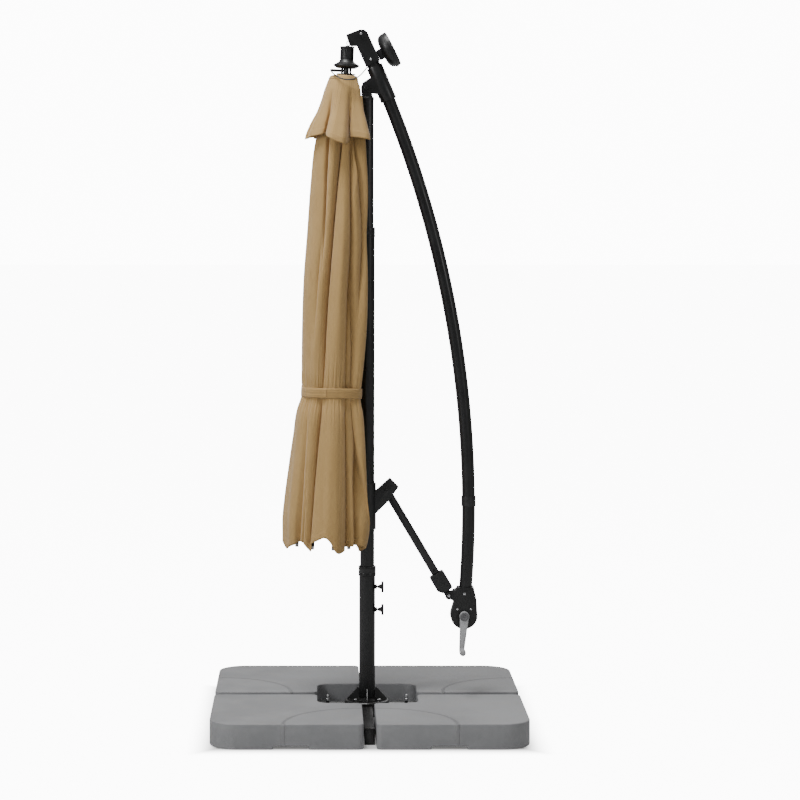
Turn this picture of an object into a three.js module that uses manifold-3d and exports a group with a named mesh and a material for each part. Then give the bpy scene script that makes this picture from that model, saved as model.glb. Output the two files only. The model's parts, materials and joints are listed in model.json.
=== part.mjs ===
// Hanging patio umbrella with a curved arm, folded, on a four-weight cross base.
// Millimetres, +Z up, origin on the ground under the mast's axis. The arm's plane is X-Z.
import * as THREE from 'three';
import { mergeVertices } from 'three/addons/utils/BufferGeometryUtils.js';
import Module from 'manifold-3d';

const wasm = await Module();
wasm.setup();

const rad = THREE.MathUtils.degToRad;
const GAP = 0.3;                        // clearance between pieces that touch

// base
const WEIGHT_SIZE = 480;
const WEIGHT_HEIGHT = 80;
const BASE_HALF = 500;
const OUTER_CORNER = 92;
const RECESS_HALF = 163;                // the pocket round the mast's foot
const BAR = { wide: 32, bottom: 3, top: 50, half: 420 };
const BAR_CAP = { wide: 33, top: 52, long: 6 };
const FOOT = { plateRadius: 73, plateTop: 60, hubTop: 67, finRadius: 65, finHeight: 33, boltRadius: 54 };
const PIN_ON_BAR = 129;

// mast
const LOWER = { radius: 26.3, wall: 2, top: 468, collarRadius: 28.5, collarTop: 501 };
const MID = { radius: 23.3, wall: 2, bottom: 72, top: 1574, ringRadius: 24.6, ringTop: 1607 };
const UPPER = { radius: 19.5, wall: 2, bottom: 1420, top: 2018 };
const THUMB_SCREW_HEIGHTS = [357, 432];
const PIVOT = { x: -6, z: 2058 };       // the arm guide tilts here

// arm: a tube on an arc in the X-Z plane
const ARC = { x: -3204, z: 680, radius: 3535 };
const ARM_RADIUS = 21.2;
const ARM_WALL = 1.6;
const ARM_LOW = -4.1;                   // degrees above the arc's centre
const ARM_HIGH = 25.3;
const ARM_JOINT = 0.55;
const GUIDE = { angle: 23.2, half: 0.96, radius: 26.3, bore: 22.3 };
const COLLAR = { radius: 23.5, half: 0.26 };

// slider and strut
const SLIDER = { bore: 24, radius: 28.5, bottom: 621, top: 774 };
const STRUT_TOP = { x: 62.2, z: 749.9 };
const STRUT_END = { x: 267.5, z: 403 };
const STRUT = { wide: 26, thick: 20, blockWide: 50, blockThick: 34, blockLong: 66 };

// crank
const CRANK = { x: 316.4, z: 339.4 };
const HOUSING = { half: 26, wall: 3, drumRadius: 44 };
const GRIP = { x: 308, z: 230, radius: 9 };

// lamp unit on the head
const PANEL = { x: 82, z: 2186, tilt: 27, radius: 57.5, deep: 38 };

// canopy, in a frame that hangs from the head and leans by CANOPY_LEAN
const CANOPY = { x: -65.6, z: 2198 };
const CANOPY_LEAN = 2.8;
const HANG_PIN = { x: -59, z: 2205, radius: 2.3 };
const RIB_COUNT = 8;
const RIB_LENGTH = 1515;
const HINGE_RADIUS = 35;
const HINGE_LEVEL = -119;
const RIB_FLARE = 1.8;
const STRETCHER = 450;
const RIB_FACE = 13;                    // from the rib's hinge line to its outer face
const STRAP_LEVEL = -1126;
const MAST_SIDE = -33;                  // the cloth beside the mast stops here

const colours = {
  steel: { color: 0x1b1b1d, roughness: 0.42, metalness: 0.85 },
  plastic: { color: 0x161617, roughness: 0.6, metalness: 0 },
  weight: { color: 0x7d7e80, roughness: 0.75, metalness: 0 },
  bright: { color: 0xc9c9c9, roughness: 0.3, metalness: 1 },
  crank: { color: 0xa9aaac, roughness: 0.45, metalness: 0.2 },
  fabric: { color: 0xc1a57d, roughness: 0.9, metalness: 0 },
};

// ---------- shaping helpers ----------

function bare(geometry) {
  const g = geometry.clone();
  g.deleteAttribute('normal');
  g.deleteAttribute('uv');
  return mergeVertices(g, 1e-4);
}

function signedVolume(g) {
  const p = g.attributes.position;
  const [a, b, c] = [new THREE.Vector3(), new THREE.Vector3(), new THREE.Vector3()];
  let sum = 0;
  for (let i = 0; i < g.index.count; i += 3) {
    a.fromBufferAttribute(p, g.index.getX(i));
    b.fromBufferAttribute(p, g.index.getX(i + 1));
    c.fromBufferAttribute(p, g.index.getX(i + 2));
    sum += a.dot(b.cross(c)) / 6;
  }
  return sum;
}

function outward(geometry) {
  const g = bare(geometry);
  if (signedVolume(g) < 0) {
    const ix = g.index.array;
    for (let i = 0; i < ix.length; i += 3) [ix[i], ix[i + 1]] = [ix[i + 1], ix[i]];
  }
  return g;
}

function manifold(geometry) {
  const g = outward(geometry);
  return new wasm.Manifold(new wasm.Mesh({
    numProp: 3,
    vertProperties: new Float32Array(g.attributes.position.array),
    triVerts: new Uint32Array(g.index.array),
  }));
}

function geometryOf(body) {
  const mesh = body.getMesh();
  const g = new THREE.BufferGeometry();
  g.setAttribute('position', new THREE.BufferAttribute(new Float32Array(mesh.vertProperties), 3));
  g.setIndex(new THREE.BufferAttribute(new Uint32Array(mesh.triVerts), 1));
  return g;
}

function join(first, ...others) {
  return geometryOf(others.reduce((body, o) => body.add(manifold(o)), manifold(first)));
}

function cut(first, ...tools) {
  return geometryOf(tools.reduce((body, t) => body.subtract(manifold(t)), manifold(first)));
}

function outline(points) {
  return new THREE.Shape(points.map(([x, y]) => new THREE.Vector2(x, y)));
}

// a plate whose outline is drawn in X-Z and whose thickness runs from y0 to y1
function sidePlate(shape, y0, y1, curveSegments = 4) {
  const g = new THREE.ExtrudeGeometry(shape, { depth: y1 - y0, bevelEnabled: false, curveSegments });
  return g.rotateX(Math.PI / 2).translate(0, y1, 0);
}

function box(x0, x1, y0, y1, z0, z1) {
  const g = new THREE.BoxGeometry(x1 - x0, y1 - y0, z1 - z0);
  return g.translate((x0 + x1) / 2, (y0 + y1) / 2, (z0 + z1) / 2);
}

// a rod between two heights on Z
function rod(radius, z0, z1, sides = 24, topRadius = radius) {
  const g = new THREE.CylinderGeometry(topRadius, radius, z1 - z0, sides);
  return g.rotateX(Math.PI / 2).translate(0, 0, (z0 + z1) / 2);
}

// a rod along Y
function crossRod(radius, x, z, y0, y1, sides = 12) {
  const g = new THREE.CylinderGeometry(radius, radius, y1 - y0, sides);
  return g.translate(x, (y0 + y1) / 2, z);
}

// a turned piece on Z from [radius, height] pairs; it closes on itself or on the axis
function turned(pairs, sides = 24) {
  const profile = pairs.map(([r, z]) => new THREE.Vector2(r, z));
  return new THREE.LatheGeometry(profile, sides).rotateX(Math.PI / 2);
}

function ring(outer, inner, z0, z1, sides = 24) {
  return turned([[inner, z0], [outer, z0], [outer, z1], [inner, z1], [inner, z0]], sides);
}

// a point and a tube on the arm's arc
function onArc(angle, offset = 0) {
  const r = ARC.radius + offset;
  return new THREE.Vector3(ARC.x + r * Math.cos(rad(angle)), 0, ARC.z + r * Math.sin(rad(angle)));
}

class ArcCurve extends THREE.Curve {
  constructor(from, to) {
    super();
    this.from = from;
    this.to = to;
  }

  getPoint(t, target = new THREE.Vector3()) {
    return target.copy(onArc(THREE.MathUtils.lerp(this.from, this.to, t)));
  }
}

function arcTube(from, to, outer, inner, steps, sides = 16) {
  const circle = new THREE.Shape().absarc(0, 0, outer, 0, 2 * Math.PI, false);
  circle.holes.push(new THREE.Path().absarc(0, 0, inner, 0, 2 * Math.PI, true));
  return new THREE.ExtrudeGeometry(circle, {
    extrudePath: new ArcCurve(from, to),
    steps,
    curveSegments: sides / 2,
  });
}

function mesh(name, geometry, look) {
  const m = new THREE.Mesh(outward(geometry), new THREE.MeshStandardMaterial(colours[look]));
  m.name = name;
  return m;
}

// ---------- base ----------

// one weight with its recess corner at the mast, for the quadrant x < 0, y < 0
function weightOutline() {
  const [lo, hi, r, c] = [-BASE_HALF, WEIGHT_SIZE - BASE_HALF, 18, OUTER_CORNER];
  const p = new THREE.Shape();
  p.moveTo(lo + c, lo);
  p.lineTo(hi - r, lo);
  p.absarc(hi - r, lo + r, r, -Math.PI / 2, 0, false);
  p.lineTo(hi, -RECESS_HALF - r);
  p.absarc(hi - r, -RECESS_HALF - r, r, 0, Math.PI / 2, false);
  p.lineTo(-RECESS_HALF + 40, -RECESS_HALF);
  p.absarc(-RECESS_HALF + 40, -RECESS_HALF + 40, 40, -Math.PI / 2, Math.PI, true);
  p.lineTo(-RECESS_HALF, hi - r);
  p.absarc(-RECESS_HALF - r, hi - r, r, 0, Math.PI / 2, false);
  p.lineTo(lo + r, hi);
  p.absarc(lo + r, hi - r, r, Math.PI / 2, Math.PI, false);
  p.lineTo(lo, lo + c);
  p.absarc(lo + c, lo + c, c, Math.PI, 1.5 * Math.PI, false);
  return p;
}

function weightBlock(xSign, ySign) {
  const edge = 10;
  const block = new THREE.ExtrudeGeometry(weightOutline(), {
    depth: WEIGHT_HEIGHT - 2 * edge,
    bevelThickness: edge,
    bevelSize: edge,
    bevelOffset: -edge,
    bevelSegments: 1,
    curveSegments: 3,
  }).translate(0, 0, edge);
  const lip = 70;
  const frontNotch = box(-300, -190, -BASE_HALF - 5, -BASE_HALF + lip, -5, 10);
  const sideNotch = box(-BASE_HALF - 5, -BASE_HALF + lip, -300, -190, -5, 10);
  const body = cut(block, frontNotch, sideNotch);
  return body.scale(-xSign, -ySign, 1);
}

// two welded tubes with a cap on each end and a locking pin on either side of the mast
function crossBase() {
  const { wide, bottom, top, half } = BAR;
  const bar = box(-half, half, -wide / 2, wide / 2, bottom, top);
  const cap = box(half - 2, half + BAR_CAP.long, -BAR_CAP.wide / 2, BAR_CAP.wide / 2, 0, BAR_CAP.top);
  const caps = [0, 1, 2, 3].map((k) => cap.clone().rotateZ((k * Math.PI) / 2));
  const pin = join(rod(3.5, top - 2, top + 20, 10), rod(6, top - 2, top + 5, 10));
  const pins = [-PIN_ON_BAR, PIN_ON_BAR].map((x) => pin.clone().translate(x, 0, 0));
  return join(bar, bar.clone().rotateZ(Math.PI / 2), ...caps, ...pins);
}

function mastFoot() {
  const { plateRadius, plateTop, hubTop, finRadius, finHeight } = FOOT;
  const under = BAR.top + GAP;
  const plate = turned([
    [0, under], [plateRadius, under], [plateRadius, plateTop - 3], [plateRadius - 3, plateTop],
    [LOWER.radius + 12, plateTop], [LOWER.radius + 2, hubTop], [0, hubTop],
  ], 24);
  const inner = LOWER.radius + GAP;
  const fin = sidePlate(outline([
    [inner, plateTop - 1], [finRadius, plateTop - 1], [finRadius, plateTop + 4],
    [inner + 5, hubTop + finHeight], [inner, hubTop + finHeight],
  ]), -2, 2);
  const fins = [0, 1, 2, 3].map((k) => fin.clone().rotateZ((k * Math.PI) / 2));
  const bolt = rod(8, plateTop - 1, plateTop + 6, 6).translate(FOOT.boltRadius, 0, 0);
  const bolts = [1, 3, 5, 7].map((k) => bolt.clone().rotateZ((k * Math.PI) / 4));
  return join(plate, ...fins, ...bolts);
}

// ---------- mast ----------

function lowerPole() {
  const { radius, wall, top, collarRadius, collarTop } = LOWER;
  const inner = radius - wall;
  const tube = turned([
    [inner, FOOT.hubTop + GAP], [radius, FOOT.hubTop + GAP], [radius, top], [collarRadius, top + 1.5],
    [collarRadius, collarTop - 2], [collarRadius - 2, collarTop], [MID.radius + GAP, collarTop],
    [MID.radius + GAP, top], [inner, top - 2], [inner, FOOT.hubTop + GAP],
  ], 24);
  const bosses = THUMB_SCREW_HEIGHTS.map((z) =>
    rod(7.5, radius - 1.5, radius + 6, 16).rotateY(Math.PI / 2).translate(0, 0, z));
  const holes = THUMB_SCREW_HEIGHTS.map((z) =>
    rod(3.6, 15, radius + 10, 12).rotateY(Math.PI / 2).translate(0, 0, z));
  return cut(join(tube, ...bosses), ...holes);
}

// the knob's grip is a round plate with shallow finger hollows
function lobedOutline(radius, depth, lobes, steps) {
  const points = [];
  for (let i = 0; i < lobes * steps; i += 1) {
    const a = (2 * Math.PI * i) / (lobes * steps);
    const r = radius - depth * (0.5 - 0.5 * Math.cos(lobes * a));
    points.push([r * Math.cos(a), r * Math.sin(a)]);
  }
  return outline(points);
}

function thumbScrew(height) {
  const start = MID.radius + GAP;
  const shank = turned([
    [0, start], [3.1, start], [3.1, 34], [5, 36], [9, 46.5], [9, 48], [0, 48],
  ], 12);
  const knob = new THREE.ExtrudeGeometry(lobedOutline(19.5, 3.5, 5, 4), {
    depth: 5.5,
    bevelThickness: 1,
    bevelSize: 1,
    bevelOffset: -1,
    bevelSegments: 1,
  }).translate(0, 0, 47.5);
  return join(shank, knob).rotateY(Math.PI / 2).translate(0, 0, height);
}

function midPole() {
  const { radius, wall, bottom, top, ringRadius, ringTop } = MID;
  const bore = UPPER.radius + GAP;
  return turned([
    [radius - wall, bottom], [radius, bottom], [radius, top], [ringRadius, top + 1],
    [ringRadius, ringTop - 1.5], [ringRadius - 1.5, ringTop], [bore, ringTop], [bore, top],
    [radius - wall, top - 2], [radius - wall, bottom],
  ], 24);
}

function upperPole() {
  return ring(UPPER.radius, UPPER.radius - UPPER.wall, UPPER.bottom, UPPER.top, 24);
}

function mastTop() {
  const { x, z } = PIVOT;
  const start = UPPER.top + GAP;
  const cap = turned([[0, start], [20.5, start], [20.5, start + 8], [19, start + 10], [0, start + 10]], 20);
  const tongue = new THREE.Shape();
  tongue.moveTo(-19, start + 5);
  tongue.lineTo(17, start + 5);
  tongue.lineTo(x + 16, z);
  tongue.absarc(x, z, 16, 0, Math.PI, false);
  const bolt = [
    crossRod(4, x, z, -24, 24, 12),
    crossRod(7, x, z, -26.5, -20 - GAP, 12),
    crossRod(7, x, z, 20 + GAP, 26.5, 6),
  ];
  return join(cap, sidePlate(tongue, -16, 16), ...bolt);
}

// ---------- slider and strut ----------

function slider() {
  const { bore, radius, bottom, top } = SLIDER;
  const { x, z } = STRUT_TOP;
  const tube = turned([
    [bore, bottom], [radius - 1.5, bottom], [radius, bottom + 2], [radius, top - 2],
    [radius - 1.5, top], [bore, top], [bore, bottom],
  ], 24);
  const cheek = outline([[20, 668], [34, 680], [70, 716], [102, 761], [75, 789], [31, 748], [20, 738]]);
  const half = STRUT.thick / 2;
  const front = sidePlate(cheek, -half - 4.5, -half - 1);
  const rear = sidePlate(cheek, half + 1, half + 4.5);
  const web = sidePlate(outline([[27, 740], [76, 788], [74, 790], [25, 746]]), -half - 4.5, half + 4.5);
  const bored = cut(join(tube, front, rear, web), rod(bore, bottom - 5, top + 5, 24));
  const pin = join(
    crossRod(4, x, z, -half - 2, half + 2, 14),
    crossRod(6.5, x, z, -half - 7.5, -half - 4, 14),
    crossRod(6.5, x, z, half + 4, half + 7.5, 14),
  );
  return join(bored, pin);
}

// the strut is drawn along +X from its top pivot, then turned into place
const strutVector = new THREE.Vector2(STRUT_END.x - STRUT_TOP.x, STRUT_END.z - STRUT_TOP.z);
const STRUT_LENGTH = strutVector.length();
const BLOCK_START = STRUT_LENGTH - 18 - STRUT.blockLong;

function alongStrut(geometry) {
  return geometry.rotateY(-strutVector.angle()).translate(STRUT_TOP.x, 0, STRUT_TOP.z);
}

function strutBar() {
  const { wide, thick } = STRUT;
  const bar = new THREE.Shape();
  const end = BLOCK_START + 20;
  bar.moveTo(0, -wide / 2);
  bar.lineTo(end, -wide / 2);
  bar.lineTo(end, wide / 2);
  bar.lineTo(0, wide / 2);
  bar.absarc(0, 0, wide / 2, Math.PI / 2, 1.5 * Math.PI, false);
  return alongStrut(cut(sidePlate(bar, -thick / 2, thick / 2), crossRod(4.4, 0, 0, -20, 20, 14)));
}

function strutBlock() {
  const { wide, thick, blockWide, blockThick, blockLong } = STRUT;
  const finish = BLOCK_START + blockLong;
  const block = new THREE.Shape();
  const r = 6;
  block.moveTo(BLOCK_START + r, -blockWide / 2);
  block.lineTo(finish - 14, -blockWide / 2);
  block.lineTo(finish, -blockWide / 2 + 12);
  block.lineTo(finish, blockWide / 2 - r);
  block.absarc(finish - r, blockWide / 2 - r, r, 0, Math.PI / 2, false);
  block.lineTo(BLOCK_START + r, blockWide / 2);
  block.absarc(BLOCK_START + r, blockWide / 2 - r, r, Math.PI / 2, Math.PI, false);
  block.lineTo(BLOCK_START, -blockWide / 2 + r);
  block.absarc(BLOCK_START + r, -blockWide / 2 + r, r, Math.PI, 1.5 * Math.PI, false);
  const tongue = new THREE.Shape();
  tongue.moveTo(finish - 8, -11);
  tongue.lineTo(STRUT_LENGTH, -11);
  tongue.absarc(STRUT_LENGTH, 0, 11, -Math.PI / 2, Math.PI / 2, false);
  tongue.lineTo(finish - 8, 11);
  const body = join(
    sidePlate(block, -blockThick / 2, blockThick / 2, 4),
    sidePlate(tongue, -7, 7),
  );
  const socket = box(
    BLOCK_START - 5, BLOCK_START + 20 + GAP,
    -thick / 2 - GAP, thick / 2 + GAP, -wide / 2 - GAP, wide / 2 + GAP,
  );
  return alongStrut(cut(body, socket));
}

// ---------- arm ----------

function armGuide() {
  const { angle, half, radius, bore } = GUIDE;
  const { x, z } = PIVOT;
  const tube = arcTube(angle - half, angle + half, radius, bore, 2, 16);
  const low = onArc(angle - half + 0.2);
  const high = onArc(angle + half * 0.5);
  const gusset = new THREE.Shape();
  gusset.moveTo(x - 1, z - 13);
  gusset.lineTo(low.x - 8, low.z + 3);
  gusset.lineTo(high.x - 10, high.z);
  gusset.lineTo(x - 12, z + 15);
  gusset.absarc(x, z, 15, rad(130), rad(250), false);
  const plates = [
    sidePlate(gusset, -20, -17),
    sidePlate(gusset, 17, 20),
  ];
  const clearBore = arcTube(angle - half - 0.2, angle + half + 0.2, bore, 2, 2, 16);
  const core = arcTube(angle - half - 0.2, angle + half + 0.2, 3, 1, 2, 8);
  const holes = crossRod(4.4, x, z, -30, 30, 16);
  return cut(join(tube, ...plates), clearBore, core, holes);
}

function armTube(from, to, steps) {
  return arcTube(from, to, ARM_RADIUS, ARM_RADIUS - ARM_WALL, steps);
}

function armCollar() {
  const { radius, half } = COLLAR;
  const collar = arcTube(ARM_JOINT - half, ARM_JOINT + half, radius, ARM_RADIUS + 3 * GAP, 1, 20);
  const screw = onArc(ARM_JOINT);
  return join(collar, crossRod(3.5, screw.x, screw.z, -radius - 2, -radius + 1, 10));
}

// the head is a bent steel channel, open on its left and lower side
function headChannel() {
  const low = onArc(24.33);
  const along = new THREE.Vector2(-Math.sin(rad(24.6)), Math.cos(rad(24.6)));
  const across = new THREE.Vector2(along.y, -along.x);
  const at = (s, o) => [low.x + s * along.x + o * across.x, low.z + s * along.y + o * across.y];
  const half = 24.2;
  const skin = 2.2;
  const outer = outline([
    at(0, -half), at(0, half), at(98, half), at(110, half - 6), at(116, half - 18),
    [-69.7, 2228], [-59, 2196], [-52.5, 2192.9], [-35, 2192.9],
  ]);
  const inner = outline([
    at(-10, -half - 20), at(-10, half - skin), at(97, half - skin), at(107, half - 8),
    at(113, half - 19), [-69, 2225], [-90, 2215], [-70, 2170], [-45, 2170],
  ]);
  const wide = 24.4;
  const shell = cut(
    sidePlate(outer, -wide, wide),
    sidePlate(inner, -wide + skin, wide - skin),
  );
  const rivets = [[-22.5, 2230], [9.4, 2148]].flatMap(([x, z]) => [
    crossRod(4.5, x, z, -wide - 2.2, -wide + 1, 12),
    crossRod(4.5, x, z, wide - 1, wide + 2.2, 12),
  ]);
  const pin = crossRod(HANG_PIN.radius, HANG_PIN.x, HANG_PIN.z, -wide + 1, wide - 1, 12);
  return join(shell, ...rivets, pin);
}

// ---------- crank ----------

function housingOutline(inset) {
  const { x, z } = CRANK;
  const r = HOUSING.drumRadius - inset;
  const p = new THREE.Shape();
  p.moveTo(296 + inset, 432 - inset);
  p.lineTo(348 - inset, 432 - inset);
  p.lineTo(357 - inset, 392);
  p.absarc(x, z, r, rad(12), rad(-192), true);
  p.lineTo(284 + inset, 386 + inset);
  if (!inset) {
    p.lineTo(272, 391);
    p.absarc(STRUT_END.x, STRUT_END.z, 12.5, rad(-70), rad(-230), true);
    p.lineTo(291, 424);
  } else {
    p.lineTo(290, 424 - inset);
  }
  return p;
}

function housingHalf(side) {
  const { half, wall } = HOUSING;
  const span = (a, b) => [side * a, side * b].sort((m, n) => m - n);
  const body = sidePlate(housingOutline(0), ...span(0.2, half), 8);
  const hollow = sidePlate(housingOutline(wall), ...span(-1, half - wall), 8);
  const end = onArc(ARM_LOW);
  const armHole = rod(ARM_RADIUS + 3 * GAP, 414, 440, 24).translate(end.x, 0, 0);
  const shaftHole = crossRod(6.5, CRANK.x, CRANK.z, -40, 0, 16);
  const slot = box(STRUT_END.x - 40, 283.5, -7.6, 7.6, 370, 440);
  const shave = span(13, half + 2);
  const thinner = box(STRUT_END.x - 40, 281, shave[0], shave[1], 384, 440);
  const tools = [hollow, armHole, slot, thinner];
  if (side < 0) tools.push(shaftHole);
  const rivets = [
    crossRod(5, 317, 411.7, ...span(half - 1, half + 1.8), 14),
    crossRod(5.5, STRUT_END.x, STRUT_END.z, ...span(12, 15), 14),
    crossRod(4.5, CRANK.x - 22, CRANK.z + 22, ...span(half - 1, half + 2.2), 12),
    crossRod(4.5, CRANK.x + 22, CRANK.z + 22, ...span(half - 1, half + 2.2), 12),
  ];
  return join(cut(body, ...tools), ...rivets);
}

function cordDrum() {
  const spool = turned([
    [0, -15], [30, -15], [30, -11], [17, -9], [17, 9], [30, 11], [30, 15], [0, 15],
  ], 20).rotateX(-Math.PI / 2).translate(CRANK.x, 0, CRANK.z);
  return join(spool, crossRod(6, CRANK.x, CRANK.z, -29, 0, 16));
}

function crankHandle() {
  const { x, z } = CRANK;
  const arm = new THREE.Shape();
  const lean = Math.atan2(GRIP.x - x, z - GRIP.z);
  const out = new THREE.Vector2(Math.cos(lean), Math.sin(lean));
  arm.moveTo(x - 14.5 * out.x, z - 14.5 * out.y);
  arm.lineTo(GRIP.x - 8.5 * out.x, GRIP.z - 8.5 * out.y);
  arm.absarc(GRIP.x, GRIP.z, 8.5, Math.PI + lean, 2 * Math.PI + lean, false);
  arm.lineTo(x + 14.5 * out.x, z + 14.5 * out.y);
  arm.absarc(x, z, 14.5, lean, Math.PI + lean, false);
  return join(
    crossRod(16, x, z, -44, -29 - GAP, 28),
    sidePlate(arm, -44, -36),
    crossRod(3, GRIP.x, GRIP.z, -110, -40, 12),
    crossRod(6, GRIP.x, GRIP.z, -112, -108, 12),
  );
}

function crankGrip() {
  const g = turned([
    [3.6, 0], [8, 0], [GRIP.radius, 3], [10.5, 40], [10, 60], [8, 63], [3.6, 63], [3.6, 0],
  ], 14);
  return g.rotateX(Math.PI / 2).translate(GRIP.x, -44.5, GRIP.z);
}

// ---------- lamp unit ----------

const panelFrame = new THREE.Matrix4()
  .makeTranslation(PANEL.x, 0, PANEL.z)
  .multiply(new THREE.Matrix4().makeRotationY(rad(90 - PANEL.tilt)));
const BUTTON = { depth: -24, radius: 6 };

function panelHousing() {
  const { radius, deep } = PANEL;
  const shell = turned([
    [0, -deep], [24, -deep], [44, -deep + 6], [54, -deep + 15], [radius, -12], [radius, -2],
    [radius - 2, 0], [radius - 5, 0], [radius - 5, -2], [0, -2],
  ], 28);
  const neck = box(-17, 17, -15, 15, -deep - 16, -deep + 4);
  const well = rod(BUTTON.radius + GAP, radius - 12, radius + 5, 16)
    .rotateY(Math.PI / 2).translate(0, 0, BUTTON.depth + 12);
  return cut(join(shell, neck), well).applyMatrix4(panelFrame);
}

function powerButton() {
  const { radius } = PANEL;
  return rod(BUTTON.radius, radius - 9.5, radius + 2, 16)
    .rotateY(Math.PI / 2).translate(0, 0, BUTTON.depth + 12).applyMatrix4(panelFrame);
}

// ---------- canopy ----------

const canopy = new THREE.Group();
canopy.position.set(CANOPY.x, 0, CANOPY.z);
canopy.rotation.y = rad(CANOPY_LEAN);

function canopySocket() {
  const body = turned([
    [0, -7], [20, -7], [23.5, -8], [23.5, -12], [22, -13], [22, -50], [25, -56], [41.5, -66],
    [41.5, -71], [30, -78], [0, -78],
  ], 24);
  const post = rod(3.6, -96, -76, 5).translate(15.4, 0, 0);
  const posts = [0, 1, 2, 3, 4, 5].map((k) => post.clone().rotateZ(rad(60 * k + 30)));
  const core = rod(9, -96, -76, 16);
  const disc = turned([[0, -98.5], [30, -98.5], [31, -95], [0, -94]], 24);
  const plug = rod(4.5, 5, 52, 10).rotateY(-Math.PI / 2).translate(0, 0, -86);
  const stem = rod(3.4, -40, 0, 12);
  return cut(join(body, core, ...posts, disc, plug), stem);
}

// an eye bolt that hangs on the head's pin; drawn in the canopy's frame
function eyeBolt() {
  const inCanopy = new THREE.Vector3(HANG_PIN.x - CANOPY.x, 0, HANG_PIN.z - CANOPY.z)
    .applyAxisAngle(new THREE.Vector3(0, 1, 0), -rad(CANOPY_LEAN));
  const bore = 6.4;
  const wire = 1.5;
  const mean = bore + wire;
  const drop = bore - HANG_PIN.radius - GAP;
  const away = new THREE.Vector2(inCanopy.x, inCanopy.z).length() + 6;
  const eye = new THREE.TorusGeometry(mean, wire, 5, 16).rotateX(Math.PI / 2);
  const toward = Math.atan2(inCanopy.x, inCanopy.z + away);
  const centre = [inCanopy.x - drop * Math.sin(toward), inCanopy.z - drop * Math.cos(toward)];
  const stem = turned([[0, -36], [3, -36], [3, -6.6], [6.5, -6.6], [6.5, -4.6], [0, -4.6]], 12);
  return join(eye.translate(centre[0], 0, centre[1]), stem);
}

function hinges(level, drawPin) {
  const parts = [];
  for (let k = 0; k < RIB_COUNT; k += 1) {
    const turn = rad(22.5 + 45 * k);
    const cheeks = [[-6.5, -3.5], [3.5, 6.5]].map(([y0, y1]) =>
      box(20, HINGE_RADIUS + 6, y0, y1, level - 9, level + 9));
    const pins = drawPin ? [crossRod(2, HINGE_RADIUS, level, -5, 5, 6)] : [];
    [...cheeks, ...pins].forEach((g) => parts.push(g.rotateZ(turn)));
  }
  return parts;
}

function hubCrown() {
  const core = ring(25, 13, -134, -104, 16);
  return join(core, ...hinges(HINGE_LEVEL, true));
}

function centrePole() {
  const low = HINGE_LEVEL - 2 * STRETCHER - 90;
  const tube = ring(12.5, 11, low, -104, 20);
  return join(tube, ring(14, 5, low - 6, low + 4, 20));
}

const RUNNER_LEVEL = HINGE_LEVEL - 2 * STRETCHER * Math.cos(rad(RIB_FLARE));

function runner() {
  const core = ring(26, 13.4, RUNNER_LEVEL - 34, RUNNER_LEVEL + 26, 16);
  return join(core, ...hinges(RUNNER_LEVEL, false));
}

// a rib is a pressed channel with an eye at the hub and two cheeks where its stretcher pivots
function ribGeometry() {
  const channel = outline([
    [5, -6], [RIB_FACE, -6], [RIB_FACE, 6], [5, 6], [5, 4.8], [RIB_FACE - 1.3, 4.8],
    [RIB_FACE - 1.3, -4.8], [5, -4.8],
  ]);
  const bar = new THREE.ExtrudeGeometry(channel, { depth: RIB_LENGTH - 14, bevelEnabled: false })
    .translate(0, 0, -RIB_LENGTH);
  const eye = new THREE.Shape();
  eye.moveTo(-5, -5);
  eye.lineTo(5.5, -40);
  eye.lineTo(RIB_FACE - 0.5, -40);
  eye.lineTo(RIB_FACE - 0.5, -14);
  eye.lineTo(5, 4.5);
  eye.absarc(0, 0, 6.8, rad(45), rad(225), false);
  const lug = new THREE.Shape();
  lug.moveTo(-3.6, -STRETCHER - 3.6);
  lug.lineTo(7, -STRETCHER - 14);
  lug.lineTo(7, -STRETCHER + 14);
  lug.lineTo(-3.6, -STRETCHER + 3.6);
  lug.absarc(0, -STRETCHER, 5.1, rad(135), rad(225), false);
  const tip = box(6, RIB_FACE - 1, -4.7, 4.7, -RIB_LENGTH, -RIB_LENGTH + 12);
  const body = join(bar, sidePlate(eye, -3, 3), sidePlate(lug, -6, -3.6), sidePlate(lug, 3.6, 6), tip);
  return join(cut(body, crossRod(2.4, 0, 0, -10, 10, 8)), crossRod(1.8, 0, -STRETCHER, -5, 5, 6));
}

function stretcherGeometry() {
  const bar = new THREE.Shape();
  bar.moveTo(4, -STRETCHER);
  bar.lineTo(4, 0);
  bar.absarc(0, 0, 4, 0, Math.PI, false);
  bar.lineTo(-4, -STRETCHER);
  bar.absarc(0, -STRETCHER, 4, Math.PI, 2 * Math.PI, false);
  return cut(sidePlate(bar, -3, 3, 6), crossRod(2.3, 0, 0, -10, 10, 8));
}

// radii of the folded cloth at a level below the hanging point
function bundleRadius(level) {
  const knots = [
    [-200, 66], [-340, 82], [-450, 92], [-610, 98], [-780, 105], [-930, 105], [-1080, 98],
    [-1100, 91], [-1150, 91], [-1180, 104], [-1290, 119], [-1390, 130], [-1490, 137], [-1600, 138],
  ];
  return along(knots, level);
}

function ventRadius(level) {
  return along([[-104, 42], [-143, 57], [-182, 66], [-221, 80], [-260, 96], [-300, 109]], level);
}

function along(knots, level) {
  const i = Math.max(1, knots.findIndex(([w]) => w <= level));
  const [[w0, r0], [w1, r1]] = [knots[i - 1], knots[i]];
  return THREE.MathUtils.mapLinear(level, w0, w1, r0, r1);
}

function ribFaceRadius(level) {
  const down = Math.max(0, HINGE_LEVEL - level);
  return HINGE_RADIUS + RIB_FACE + down * Math.tan(rad(RIB_FLARE));
}

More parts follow.
